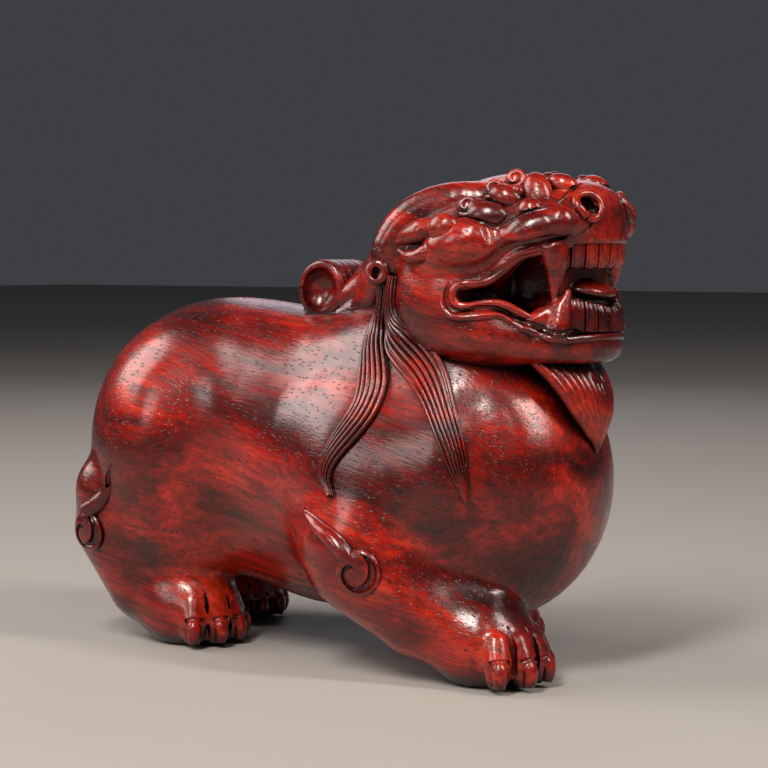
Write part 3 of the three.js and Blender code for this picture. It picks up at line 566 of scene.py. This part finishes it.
# teeth: broad strands side by side along the arch of the jaws, a pair of thin ribs over each gap
teeth = {
    "count": 9,
    "spacing": 2.13,
    "radius": 1.3,
    "arch": 9.35,
    "ribRadius": 0.27,
    "ribArch": 10.32,
    "ribsApart": 0.15,  # share of the spacing, to each side of the gap
    "upper": (67.8, 63.4),  # height of root and tip
    "lower": (53.8, 57.4),
    "lowerRise": 2,  # the lower row rises towards the sides
}


def alongArch(turn, arch, root, tip, profile):
    angle = turn * teeth["spacing"] / teeth["arch"]
    end = tip + (teeth["lowerRise"] * abs(angle) if tip > root else 0)
    stops = []
    for share, inward, radius in profile:
        r = arch - inward
        x, y = mouth["archMiddle"] + r * math.cos(angle), r * math.sin(angle)
        stops.append((x, y, root + (end - root) * share, radius))
    return stops


def addTeeth(root, tip):
    wide, thin = teeth["radius"], teeth["ribRadius"]
    tooth = [
        (0, 0, wide), (0.5, 0, wide), (0.8, 0.1, wide * 0.9), (0.94, 0.2, wide * 0.66),
        (1, 0.3, wide * 0.3),
    ]
    rib = [(0, 0, thin), (0.4, 0, thin), (0.75, 0.1, thin), (0.95, 0.5, thin * 0.8)]
    turns = [k - (teeth["count"] - 1) / 2 for k in range(teeth["count"])]
    layStrands([alongArch(turn, teeth["arch"], root, tip, tooth) for turn in turns], around=4, along=4)
    apart = teeth["ribsApart"]
    gaps = [turn + 0.5 + step for turn in turns[:-1] for step in (-apart, apart)]
    layStrands([alongArch(turn, teeth["ribArch"], root, tip, rib) for turn in gaps], around=3, along=3)


# The rim runs along the lower lip, turns at the corner and runs back along the upper lip. Below it
# lie a groove and an outer ridge, which follow the lower lip and end behind the corner.
def addLips():
    radius = mouth["lipRadius"]
    lower = [(x, -y, mouth["lowerLip"][i], radius) for i, (x, y) in enumerate(mouth["route"])]
    upper = [(x, -y, mouth["upperLip"][i], radius) for i, (x, y) in enumerate(mouth["route"])]
    corner = [
        (26.2, 14.9, 57.6), (24.8, 15.4, 58), (24.2, 15.6, 59.2), (24.7, 15.5, 60.4), (25.9, 15.1, 61),
        (27.2, 14.4, 61),
    ]
    rim = [(35.4, 9.7, 55.5, 0.25)] + lower[1:4][::-1] + [(*stop, radius) for stop in corner]
    rim += [(28.6, 13.3, 61.3, radius), *upper[2:4], (*upper[4][:3], 0.55), (*upper[5][:3], 0.3)]
    layPair([rim], around=4)
    knobPair((26.2, 14.9, 59.2), (1.2, 2, 0.8), cut=True)
    drop = [0.9, 0.9, 0.9, 1, 1, 0.8, 0.3, 0.2]  # how far the groove lies below the lip
    groove, ridge = [], []
    for i, (x, y) in enumerate(mouth["route"]):
        height = mouth["lowerLip"][i] - drop[i]
        groove.append((x, -y, height, 0.5))
        ridge.append((x, -y, height - 1.1, 0.65))
    outside = [
        (23.8, 16, 61.4, 0.15), (23.2, 16.1, 60, 0.4), (23.2, 16.1, 58.6, 0.5), (23.9, 16, 57.4, 0.5),
    ]
    layPair([onWood(pointsAlong(outside + groove, 22), 0.1)], around=3, cut=True, along=3)
    outside = [(22.2, 16.2, 58.6, 0.15), (22.6, 16.1, 57.4, 0.4), (23.6, 15.9, 56.4, 0.6)]
    ridge = onWood(pointsAlong(outside + ridge, 22), -0.15)
    layStrands([toSide(ridge, nearSide) + ridge[::-1][1:]], around=4, along=3)


# a mark lies on the wood: its stops are settled on the surface, then lifted off it
def onWood(stops, lift):
    places = settleOnWood([stop[:3] for stop in stops])
    places += facingOf(wholeFigure, places) * lift
    return [(*place, stop[3]) for place, stop in zip(places.tolist(), stops)]


# stops round a middle, in the plane that faces one way, drawn in to a spiral by shrink
def ringStops(middle, facing, radius, thickness, start=0, sweep=360, shrink=1.0, count=13):
    facing = np.array(facing, float) / np.linalg.norm(facing)
    along = np.cross((0, 0, 1), facing)
    along /= np.linalg.norm(along)
    up = np.cross(facing, along)
    stops = []
    for i in range(count):
        f = i / (count - 1)
        angle = math.radians(start + sweep * f)
        r = radius * (1 + (shrink - 1) * f)
        place = np.array(middle) + along * r * math.cos(angle) + up * r * math.sin(angle)
        stops.append((*place.tolist(), thickness * (1 - 0.25 * f)))
    return stops


# face, laid out for the far side and mirrored: eyes, folds, nose, ears, curls and plates of the brow
face = {
    "eye": ((34.3, 9.6, 71.9), (2.3, 2.1, 2.1)),
    "nostrilRim": ((41.8, 5.5, 72.6), (0.75, 0.55, 0.35), 2.1, 0.7),  # middle, facing, radius, thickness
    "nostril": ((41.1, 5.7, 72.9), (1.9, 1.6, 1.15)),
    "nostrilTip": ((42.1, 4.9, 72.2), (1.1, 1.2, 0.7)),
    "noseLines": [
        [(39, 2.6, 76.2, 0.25), (39, 5, 75.2, 0.45), (38.9, 7, 73.8, 0.5), (38.6, 8.6, 72.2, 0.35)],
        [(42.6, 3.6, 71.9, 0.2), (42, 5.2, 70.4, 0.38), (41, 6.6, 69, 0.35), (40, 7.6, 68.4, 0.15)],
    ],
    "ear": ((22.4, 15.2, 69.3), (2.9, 2.3, 2.5)),
    "foldLine": [
        (24, 13.8, 69.2, 0.3), (27.4, 13.6, 69.2, 0.5), (30.4, 13, 69.5, 0.6), (33, 11.9, 70.2, 0.5),
        (35.6, 10.7, 70.9, 0.45), (37.4, 9.6, 71.7, 0.3),
    ],
    "browFacing": (0.3, 0.86, 0.42),
    "browCurls": [(24.6, 11.9, 72.2), (27.2, 8.5, 74.8), (28.6, 4.6, 76.4)],
    "browPlates": [  # middle, radii along, up and out, and lean in degrees
        ((28.2, 12, 70.9), (3.4, 2.1, 1.7), -6),
        ((26.2, 11.6, 71.9), (2, 1.8, 1.9), 0),
        ((29.9, 9.4, 73.7), (3, 2, 1.9), -24),
        ((31.6, 8.6, 74.7), (1.5, 1.1, 1.9), -40),
        ((34.4, 7.5, 74), (2.3, 3.6, 1.9), 22),
        ((32.8, 6.4, 75.6), (2, 1.6, 1.4), -20),
        ((37, 4.6, 75.2), (2.6, 1.7, 1.6), -24),
    ],
}


# where a mark sits: its place settled on the wood, and the directions along, up and out of it
def seatOf(centre, facing=None):
    middle = settleOnWood([centre])
    out = facingOf(wholeFigure, middle)[0]
    if facing:
        out = np.array((facing[0], facing[1] * np.sign(centre[1]), facing[2]))
        out /= np.linalg.norm(out)
    up = np.array((0, 0, 1)) - out * out[2]
    up /= np.linalg.norm(up)
    return middle[0], np.cross(up, out), up, out


# a flattened knob, its radii along, up and out, tipped by lean degrees
def setPlate(centre, radii, lean=0, facing=None):
    middle, along, up, out = seatOf(centre, facing)
    tip = math.radians(-lean if centre[1] > 0 else lean)
    turn = Matrix(np.column_stack([along, up, out]).tolist()) @ Matrix.Rotation(tip, 3, "Z")
    setKnob(middle.tolist(), radii, turn=turn.to_euler())


def addBrowCurl(middle):
    facing = face["browFacing"]
    knobPair(middle, (1.9, 1.9, 1.9))
    outward = np.array(middle) + np.array(facing) * 1.5
    curl = ringStops(outward, facing, 1.7, 0.55, start=-60, sweep=-400, shrink=0.3, count=17)
    layPair([curl], around=3, along=3)


def addFace():
    for middle in face["browCurls"]:
        addBrowCurl(middle)
    for middle, radii, lean in face["browPlates"]:
        for side in bothSides:
            setPlate((middle[0], middle[1] * side, middle[2]), radii, lean, face["browFacing"])
    knobPair(*face["eye"])
    layPair([onWood(face["foldLine"], 0.1)], around=3, cut=True)
    layPair([onWood(line, 0.1) for line in face["noseLines"]], around=3, cut=True)
    rim = ringStops(*face["nostrilRim"], start=-60)
    layPair([onWood(rim, 0.2)], around=4)
    knobPair(*face["nostril"], cut=True)
    knobPair(*face["nostrilTip"], cut=True)
    addEar()


def addEar():
    knobPair(*face["ear"])
    layPair([
        [(20.6, 14.4, 69.6, 1.7), (18, 14.8, 69, 2), (15.6, 14.8, 68.3, 1.6), (12.8, 14.4, 67.2, 0.4)],
        [(21.8, 15.2, 67.2, 0.9), (19.4, 15.8, 65.6, 1.4), (16.6, 15.6, 65, 1.2), (13.8, 15, 66, 0.4)],
    ], around=6)
    layPair([[(20, 17, 68.9, 0.25), (17.6, 17, 68.6, 0.4), (15, 16.4, 67.9, 0.3)]], around=3, cut=True)


# each horn ends in a ring behind the cheek
hornRings = {
    "ring": ((9, 14.2, 62.6), (0.3, 0.95, 0.1), 1.35, 0.85),  # middle, facing, radius, thickness
    "seat": ((9, 13.2, 62.6), (1.5, 1.2, 1.9)),
    "hole": ((9.1, 15, 62.6), (0.75, 1.6, 1.05)),
}


def addHornRings():
    layPair([ringStops(*hornRings["ring"], start=90)], around=4)
    knobPair(*hornRings["seat"])
    knobPair(*hornRings["hole"], cut=True)


# scroll: the mane ends on the back in a roll with cut rings, hollowed at both ends
scroll = {
    "centre": (-9.5, 59.6),
    "radius": 5,
    "flat": 0.95,
    "halfWidth": 4.9,
    "hollow": 0.76,  # share of the radius
    "rings": 5,
    "ringGap": 0.36,  # share of the half width
    "ringCut": 0.22,
}


def addScroll():
    x, z = scroll["centre"]
    radius, half = scroll["radius"], scroll["halfWidth"]
    bpy.ops.mesh.primitive_cylinder_add(
        vertices=64, radius=radius, depth=half * 2, location=(x, 0, z),
        rotation=(math.pi / 2, 0, 0), scale=(scroll["flat"], 1, 1))
    roll = bpy.context.object
    bevel = roll.modifiers.new("rounded", "BEVEL")
    bevel.width = 0.8
    bevel.segments = 4
    raised.append(roll)
    # the mane runs into the roll without a gap, and under it along the back
    web = [(x + 1, z - 1.6, 3), (x + 5.5, z - 1, 3.3), (x + 10, z + 2.6, 3.4)]
    under = [(x - 4.2, z - 3, 0.9), (x - 2, z - 4.4, 1.6), (x + 3, z - 4.8, 2.4), (x + 8, z - 3, 3)]
    layStrands([[(px, y, pz, r) for px, pz, r in web] for y in (-1.7, 1.7)], around=6)
    layStrands([[(px, y, pz, r) for px, pz, r in under] for y in (-2.8, 0, 2.8)], around=6)
    for k in range(scroll["rings"]):
        y = (k - (scroll["rings"] - 1) / 2) * half * scroll["ringGap"]
        ring = []
        for i in range(13):
            angle = math.radians(-70 + 250 * i / 12)  # from under the front, over the top, to the back
            ringX = x + math.cos(angle) * radius * scroll["flat"]
            ring.append((ringX, y, z + math.sin(angle) * radius, scroll["ringCut"]))
        layStrands([ring], around=2, along=3, cut=True)
    hollow = radius * scroll["hollow"]
    knobPair((x, half + 0.4, z), (hollow * scroll["flat"], 3.2, hollow), cut=True)


# mane: furrows run from the crown down the nape to the scroll
mane = {"furrows": 9, "spread": 5.8, "depth": 0.36}


def addMane():
    for k in range(mane["furrows"]):
        y = (2 * k / (mane["furrows"] - 1) - 1) * mane["spread"]
        furrow = [
            (21, y * 0.6, 77.4, 0.2), (15, y * 0.8, 76.8, 0.35), (8, y, 73.6, mane["depth"]),
            (1.5, y, 68.8, mane["depth"]), (-2.6, y, 63.8, 0.2),
        ]
        layStrands([onWood(pointsAlong(furrow, 14), 0.05)], around=3, along=3, cut=True)


# locks: thin strands lie side by side on a thick bed, and close up towards the tip
sideLocks = {
    "proud": 0.5,  # height over the wood
    "crown": 0.75,  # how much higher the middle strand lies
    "spread": 0.82,  # share of the half width that the strands take
    "fullness": 0.95,  # a strand's thickness against its share of the width
    "beds": [  # depth, share of the half width, places across
        (0.3, 0.26, (-0.66, -0.33, 0, 0.33, 0.66)),
        (1.2, 0.42, (-0.5, 0, 0.5)),
    ],
    "back": {
        "way": [
            (9, 13.8, 61.4), (7.6, 13.2, 58), (7.4, 13.4, 53.6), (8.8, 14.8, 49.6), (10.6, 16.8, 45.6),
            (11, 19.4, 41.4), (8.9, 21.8, 37.6), (6.4, 22.9, 34), (6, 23.4, 31.2), (7.6, 23.9, 28.4),
        ],
        "halfWidths": [1, 1.5, 1.8, 2.3, 2.6, 2.4, 2, 1.5, 1, 0.3],
        "strands": 6,
    },
    "fore": {
        "way": [
            (11.6, 13.8, 62), (11, 13.8, 59), (10.8, 13.8, 55.6), (12.6, 14.2, 52.4), (16.6, 14.8, 49.8),
            (20.2, 15.7, 46.6), (22.8, 17, 42.8), (25.2, 18.4, 38.6), (27.2, 18.8, 34.4),
            (28.8, 18.6, 28.4),
        ],
        "halfWidths": [0.6, 1.4, 2.1, 3, 3.5, 3.3, 2.6, 2.2, 1.7, 0.3],
        "strands": 7,
    },
}


def addLock(lock, side):
    count = 26
    way = settleOnWood(pointsAlong(toSide(lock["way"], side), count))
    facing = facingOf(wholeFigure, way)
    for _ in range(4):
        way[1:-1] = (way[:-2] + 2 * way[1:-1] + way[2:]) / 4
        facing[1:-1] = (facing[:-2] + 2 * facing[1:-1] + facing[2:]) / 4
    facing /= np.linalg.norm(facing, axis=1)[:, None]
    across = np.cross(facing, np.gradient(way, axis=0))
    across /= np.linalg.norm(across, axis=1)[:, None]
    widths = lock["halfWidths"]
    half = np.interp(np.linspace(0, 1, count), np.linspace(0, 1, len(widths)), widths)

    def strandAt(u, lift, radius):
        middle = way + across * (u * half)[:, None] + facing * lift
        return np.column_stack([middle, np.maximum(radius, 0.2)]).tolist()

    number = lock["strands"]
    strands = []
    for s in range(number):
        u = 2 * s / (number - 1) - 1
        lift = sideLocks["proud"] + sideLocks["crown"] * (1 - 0.7 * u * u)
        strands.append(strandAt(u * sideLocks["spread"], lift, half / number * sideLocks["fullness"]))
    layStrands(strands, around=3, along=2)
    bed = []
    for depth, share, places in sideLocks["beds"]:
        bed += [strandAt(u, sideLocks["proud"] - depth, half * share) for u in places]
    layStrands(bed, around=4, along=2)


# beard: strands hang from the chin over a thick core and close up to one tip
beard = {
    "strands": 13,
    "spread": 4,
    "core": [(33, 0, 50, 3.4), (37.6, 0, 45.6, 3), (39.2, 0.3, 41, 2), (39.4, 0.8, 37, 0.8)],
}


def addBeard():
    strands = []
    for i in range(beard["strands"]):
        s = (2 * i / (beard["strands"] - 1) - 1) * beard["spread"]
        out = abs(s)
        strands.append([
            (34.6 - 0.12 * out**2, s * 2, 50.5, 0.95),
            (39.6 - 0.14 * out**2, s * 1.75, 46, 0.9),
            (41 - 0.1 * out**2, s * 1.25 + 0.2, 41.5, 0.75),
            (40.2 - 0.03 * out**2, s * 0.55 + 0.8, 37 + 0.25 * out, 0.5),
            (39.7, 0.9 + s * 0.15, 35 + 0.35 * out, 0.3),
        ])
    layStrands(strands, around=4)
    layStrands([beard["core"]], around=6)


# leg marks: a raised disc with a spiral groove on each leg, and a flame that licks up from it
legMarks = {
    "foreSpiral": ((13, 24.3, 17.2), 3.7),
    "foreFlame": [
        (11.8, 24.6, 18.6, 1.2), (10.2, 24.8, 20.4, 1.4), (8.2, 24.9, 22, 1.3),
        (5.6, 24.6, 23.4, 1.1), (3, 23.8, 24.8, 0.8), (1, 23.8, 25.8, 0.3),
    ],
    "hindSpiral": ((-45.2, 21.6, 18.9), 3.4),
    "hindFlame": [
        (-45.4, 21.4, 22.4, 1.7), (-43, 22, 23.8, 1.6), (-41.4, 22.6, 26, 1.1),
        (-40.8, 22.6, 28.2, 0.7), (-39.6, 22.9, 30.4, 0.3),
    ],
    "rise": 0.3,  # share of the disc's radius
    "groove": [  # degrees, share of the disc's radius, thickness
        (80, 0.84, 0.25), (40, 0.74, 0.5), (0, 0.68, 0.75), (-45, 0.66, 0.75), (-90, 0.66, 0.6),
        (-135, 0.62, 0.5), (-180, 0.55, 0.5), (-220, 0.42, 0.45), (-260, 0.26, 0.3),
    ],
}


def addSpiral(centre, radius):
    middle, along, up, out = seatOf(centre)
    rise = radius * legMarks["rise"]
    setPlate(centre, (radius, radius, rise))
    groove = []
    sense = -1 if along[0] < 0 else 1
    for degrees, share, thick in legMarks["groove"]:
        r, angle = radius * share, math.radians(degrees)
        place = middle + along * sense * r * math.cos(angle) + up * r * math.sin(angle)
        place = place + out * (rise * math.sqrt(1 - share**2) - 0.25)
        groove.append((*place, thick))
    layStrands([groove], around=4, along=5, cut=True)


def addFlame(stops, side):
    stops = toSide(stops, side)
    layStrands([onWood(stops, -0.2)], around=6)
    edge = [(x + 0.7 * r, y, z + 0.9 * r, 0.4) for x, y, z, r in stops]
    layStrands([onWood(edge, 0.25)], around=3, cut=True)


def addLegMarks(side):
    for leg in ("fore", "hind"):
        back = setBack(leg, side) * 0.6
        (x, y, z), radius = legMarks[leg + "Spiral"]
        addSpiral((x + back, y * side, z), radius)
        addFlame([(fx + back, *rest) for fx, *rest in legMarks[leg + "Flame"]], side)


# tail: strands lie down the rump side by side, their way written for the outermost
tail = {
    "strands": 5,
    "way": [
        (-53.5, 2.6, 44.5, 1.1), (-56.9, 3.6, 36, 1.6), (-58, 3.4, 28, 1.5), (-56.6, 2.2, 20.5, 1.1),
        (-54, 0.5, 14.5, 0.5),
    ],
}


def addTail():
    shares = [2 * i / (tail["strands"] - 1) - 1 for i in range(tail["strands"])]
    layStrands([toSide(tail["way"], share) for share in shares], around=5)


for side in bothSides:
    addWebs("fore", side)
    addWebs("hind", side)
    addLegMarks(side)
    addLock(sideLocks["back"], side)
    addLock(sideLocks["fore"], side)
addHornRings()
addScroll()
addMane()
addTeeth(*teeth["upper"])
addTeeth(*teeth["lower"])
addLips()
addFace()
addBeard()
addTail()
print("details laid:", len(raised), "raised,", len(grooves), "cut")


# selects these pieces alone, the first as the active one
def choose(pieces):
    bpy.ops.object.select_all(action="DESELECT")
    for piece in pieces:
        piece.select_set(True)
    bpy.context.view_layer.objects.active = pieces[0]


def applyModifier(piece, kind, **settings):
    choose([piece])
    modifier = piece.modifiers.new(kind.lower(), kind)
    for name, value in settings.items():
        setattr(modifier, name, value)
    bpy.ops.object.modifier_apply(modifier=modifier.name)


# Curves become meshes with closed ends, and every closed shell its own object, because the Boolean
# takes each object for one solid
def asShells(pieces, name):
    choose(pieces)
    bpy.ops.object.convert(target="MESH")
    choose(list(bpy.context.selected_objects))
    bpy.ops.object.mode_set(mode="EDIT")
    bpy.ops.mesh.select_all(action="SELECT")
    bpy.ops.mesh.remove_doubles(threshold=1e-4)
    bpy.ops.mesh.normals_make_consistent(inside=False)
    bpy.ops.mesh.separate(type="LOOSE")
    bpy.ops.object.mode_set(mode="OBJECT")
    shells = bpy.data.collections.new(name)
    bpy.context.scene.collection.children.link(shells)
    for piece in list(bpy.context.selected_objects):
        for owner in list(piece.users_collection):
            owner.objects.unlink(piece)
        shells.objects.link(piece)
    return shells


def joinShells(shells, operation):
    applyModifier(figureBlock, "BOOLEAN", operation=operation, solver="MANIFOLD",
                  operand_type="COLLECTION", collection=shells)
    for piece in list(shells.objects):
        bpy.data.objects.remove(piece)
    bpy.data.collections.remove(shells)


def planeSoles():
    choose([figureBlock])
    bpy.ops.object.mode_set(mode="EDIT")
    bpy.ops.mesh.select_all(action="SELECT")
    bpy.ops.mesh.bisect(plane_co=(0, 0, 0), plane_no=(0, 0, 1), use_fill=True, clear_inner=True)
    bpy.ops.object.mode_set(mode="OBJECT")


joinShells(asShells([headBlock, *raised], "raisedShells"), "UNION")
joinShells(asShells(grooves, "grooveShells"), "DIFFERENCE")
planeSoles()
applyModifier(figureBlock, "TRIANGULATE")
count = len(figureBlock.data.polygons)
if count > carving["triangles"]:
    applyModifier(figureBlock, "DECIMATE", ratio=carving["triangles"] / count)
print("carved:", count, "->", len(figureBlock.data.polygons), "triangles")

figureBlock.name = "pixiuFigure"
toMetres = Matrix.Scale(0.001, 4)
figureBlock.data.transform(toMetres @ Matrix.Translation(carving["intoFrame"]))
choose([figureBlock])
bpy.ops.object.shade_smooth_by_angle(angle=math.radians(carving["creaseAngle"]))

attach(figureBlock, "root")
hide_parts("figure")


def linear(code):
    parts = [int(code[k:k + 2], 16) / 255 for k in (0, 2, 4)]
    return tuple((c / 12.92 if c <= 0.04045 else ((c + 0.055) / 1.055) ** 2.4) for c in parts) + (1,)


# adds a node with its settings; a socket is given a value, or another node's output to link
def addNode(tree, kind, sockets, **settings):
    node = tree.nodes.new("ShaderNode" + kind)
    for name, value in settings.items():
        setattr(node, name, value)
    for socket, value in sockets.items():
        if isinstance(value, bpy.types.NodeSocket):
            tree.links.new(value, node.inputs[socket])
        else:
            node.inputs[socket].default_value = value
    return node


# Red rosewood, sanded fine and waxed: a satin gloss over open pores, dark and red-orange heartwood
# running along the grain, and painted shade that darkens the cuts of the carving, where wax and dust also
# lie.
rosewood = {
    "zones": [(0.3, "2E0503"), (0.44, "570A05"), (0.56, "88150A"), (0.72, "B32C10")],
    "poreColour": "140202",
    "grainDip": -12,  # degrees, the grain runs down towards the head
    "shift": (-61, 33, 52),  # mm, moves the figure of the wood over the carving
    "zone": (34, 12),  # mm along and across the grain
    "streak": (15, 1.2),
    "streakShade": (0.42, 1.28),
    "fibre": (3.5, 0.3),  # real fibres are finer, but wouldn't show
    "fibreShade": (0.72, 1.22),
    "pore": (1.7, 0.4),  # cells that may each hold one pore, about 0.8 by 0.2 mm
    "poreEdge": (0.19, 0.3),  # shares of a cell at which a pore begins and ends to fade
    "closedCells": 0.38,  # share of the cells that hold none
    "poreDepth": -0.8,  # against the fibres' height of one
    "toolMarks": 6,  # mm between the faint hollows left by the gouge
    "roughness": (0.2, 0.29),
    "poreRoughness": 0.35,
    "coat": (0.42, 0.13),  # the wax: weight and roughness
    "paintedShadeReach": 0.004,  # metres within which wood opposite darkens the colour as painted shade
}


def setRamp(node, stops):
    ramp = node.color_ramp
    while len(ramp.elements) < len(stops):
        ramp.elements.new(0.5)
    for element, (place, colour) in zip(ramp.elements, stops):
        element.position = place
        element.color = colour


def makeRosewood():
    wood = bpy.data.materials.new("waxedRosewood")
    wood.use_nodes = True
    tree = wood.node_tree
    shader = tree.nodes["Principled BSDF"]
    place = addNode(tree, "TexCoord", {}).outputs["Object"]
    turn = (0, math.radians(rosewood["grainDip"]), 0)
    toMillimetres = (1000, 1000, 1000)
    grain = addNode(tree, "Mapping", {
        "Vector": place, "Location": rosewood["shift"], "Rotation": turn,
        "Scale": toMillimetres}).outputs[0]

    def along(name):
        length, width = rosewood[name]
        scale = (1 / length, 1 / width, 1 / width)
        return addNode(tree, "Mapping", {"Vector": grain, "Scale": scale}).outputs[0]

    zone = addNode(tree, "TexNoise", {
        "Vector": along("zone"), "Scale": 1, "Detail": 4, "Roughness": 0.58, "Distortion": 0.9})
    colour = addNode(tree, "ValToRGB", {"Fac": zone.outputs["Fac"]})
    setRamp(colour, [(edge, linear(code)) for edge, code in rosewood["zones"]])
    streak = addNode(tree, "TexNoise", {
        "Vector": along("streak"), "Scale": 1, "Detail": 5, "Roughness": 0.62, "Distortion": 0.3})
    low, high = rosewood["streakShade"]
    streakShade = addNode(tree, "MapRange", {
        "Value": streak.outputs["Fac"], "From Min": 0.34, "From Max": 0.64, "To Min": low, "To Max": high})
    fibre = addNode(tree, "TexNoise", {
        "Vector": along("fibre"), "Scale": 1, "Detail": 3, "Roughness": 0.6})
    low, high = rosewood["fibreShade"]
    fibreShade = addNode(tree, "MapRange", {
        "Value": fibre.outputs["Fac"], "From Min": 0.3, "From Max": 0.7, "To Min": low, "To Max": high})
    shade = addNode(tree, "Math", {
        0: streakShade.outputs[0], 1: fibreShade.outputs[0]}, operation="MULTIPLY")
    streaked = addNode(tree, "VectorMath", {
        0: colour.outputs[0], "Scale": shade.outputs[0]}, operation="SCALE")

    cell = addNode(tree, "TexVoronoi", {"Vector": along("pore"), "Scale": 1})
    low, high = rosewood["poreEdge"]
    hole = addNode(tree, "MapRange", {
        "Value": cell.outputs["Distance"], "From Min": low, "From Max": high, "To Min": 1, "To Max": 0})
    pick = addNode(tree, "SeparateColor", {"Color": cell.outputs["Color"]})
    chosen = addNode(tree, "Math", {
        0: pick.outputs[0], 1: rosewood["closedCells"]}, operation="GREATER_THAN")
    pore = addNode(tree, "Math", {0: hole.outputs[0], 1: chosen.outputs[0]}, operation="MULTIPLY")
    poreShade = addNode(tree, "Math", {0: pore.outputs[0], 1: 0.95}, operation="MULTIPLY")
    # sockets 6 and 7 are the two colours
    pored = addNode(tree, "Mix", {
        0: poreShade.outputs[0], 6: streaked.outputs[0], 7: linear(rosewood["poreColour"])},
        data_type="RGBA")

    # painted shade: ambient occlusion darkens the colour where wood lies close opposite, down to 0.03 of
    # it in the deepest cuts, together with the wax and dust that lie there
    paintedShadeOcclusion = addNode(tree, "AmbientOcclusion", {"Distance": rosewood["paintedShadeReach"]}, samples=8)
    paintedCreviceShade = addNode(tree, "MapRange", {
        "Value": paintedShadeOcclusion.outputs["AO"], "From Min": 0.35, "From Max": 0.9, "To Min": 0.03, "To Max": 1})
    colourWithPaintedShade = addNode(tree, "VectorMath", {
        0: pored.outputs[2], "Scale": paintedCreviceShade.outputs[0]}, operation="SCALE")
    tree.links.new(colourWithPaintedShade.outputs[0], shader.inputs["Base Color"])

    low, high = rosewood["roughness"]
    rough = addNode(tree, "MapRange", {
        "Value": fibre.outputs["Fac"], "From Min": 0.3, "From Max": 0.7, "To Min": low, "To Max": high})
    satin = addNode(tree, "MapRange", {
        "Value": streak.outputs["Fac"], "From Min": 0.35, "From Max": 0.65,
        "To Min": 0.08, "To Max": -0.04})  # the wax lies thinner on the dark streaks
    uneven = addNode(tree, "Math", {0: rough.outputs[0], 1: satin.outputs[0]}, operation="ADD")
    dull = addNode(tree, "Math", {
        0: pore.outputs[0], 1: rosewood["poreRoughness"], 2: uneven.outputs[0]},
        operation="MULTIPLY_ADD")
    tree.links.new(dull.outputs[0], shader.inputs["Roughness"])
    grainHeight = addNode(tree, "Math", {
        0: pore.outputs[0], 1: rosewood["poreDepth"], 2: fibre.outputs["Fac"]},
        operation="MULTIPLY_ADD")
    marks = addNode(tree, "TexNoise", {
        "Vector": grain, "Scale": 1 / rosewood["toolMarks"], "Detail": 1})
    height = addNode(tree, "Math", {
        0: marks.outputs["Fac"], 1: 3, 2: grainHeight.outputs[0]}, operation="MULTIPLY_ADD")
    relief = addNode(tree, "Bump", {"Strength": 0.35, "Distance": 0.0001, "Height": height.outputs[0]})
    tree.links.new(relief.outputs[0], shader.inputs["Normal"])
    tree.links.new(relief.outputs[0], shader.inputs["Coat Normal"])
    shader.inputs["IOR"].default_value = 1.46
    shader.inputs["Specular IOR Level"].default_value = 0.4
    coatWeight, coatRoughness = rosewood["coat"]
    shader.inputs["Coat Weight"].default_value = coatWeight
    shader.inputs["Coat Roughness"].default_value = coatRoughness
    return wood


figureBlock.data.materials.clear()
figureBlock.data.materials.append(makeRosewood())
print("rosewood made")

# A plain pale floor and soft boxes, each with its place, size, power and tint: a tall window over
# the near side, a wide box beside the rump, a narrow one high before the head, and weak ones low
# at the side, behind and over the camera.
studio = {
    "floor": "96938E",
    "floorRoughness": 0.7,
    "aim": (0, 0, 0.04),
    "air": "A9ACB4",
    "airStrength": 0.12,
    "boxes": [
        ("windowBox", (0.08, -0.4, 0.48), (0.1, 0.28), 3.7, "FFF3EA"),
        ("wideBox", (-0.46, -0.22, 0.42), (0.4, 0.4), 3.2, "FFF6F0"),
        ("lowBox", (-0.18, -0.54, 0.25), (0.16, 0.16), 0.5, "FFF6F0"),
        ("rearBox", (-0.3, 0.5, 0.34), (0.3, 0.3), 0.35, "F4F2FF"),
        ("sideBox", (0.45, 0.03, 0.45), (0.07, 0.3), 2.4, "FFF3EA"),
        ("frontBox", (0.36, -0.33, 0.46), (0.1, 0.1), 0.3, "FFEDE2"),
    ],
}


def setStudio():
    bpy.ops.mesh.primitive_plane_add(size=6, location=(0, 0, 0))
    floor = bpy.context.object
    floor.name = "floor"
    paint = bpy.data.materials.new("matFloorPaint")
    paint.use_nodes = True
    shader = paint.node_tree.nodes["Principled BSDF"]
    shader.inputs["Base Color"].default_value = linear(studio["floor"])
    shader.inputs["Roughness"].default_value = studio["floorRoughness"]
    floor.data.materials.append(paint)
    for name, place, size, power, tint in studio["boxes"]:
        bpy.ops.object.light_add(type="AREA", location=place)
        box = bpy.context.object
        box.name = name
        box.data.shape = "RECTANGLE"
        box.data.size, box.data.size_y = size
        box.data.energy = power
        box.data.color = linear(tint)[:3]
        aim = Vector(studio["aim"]) - Vector(place)
        box.rotation_euler = aim.to_track_quat("-Z", "Y").to_euler()
    world = bpy.data.worlds.new("studioAir")
    bpy.context.scene.world = world
    world.use_nodes = True
    air = world.node_tree.nodes["Background"]
    air.inputs["Color"].default_value = linear(studio["air"])
    air.inputs["Strength"].default_value = studio["airStrength"]
    bpy.context.scene.view_settings.view_transform = "Standard"


setStudio()
print("studio set")
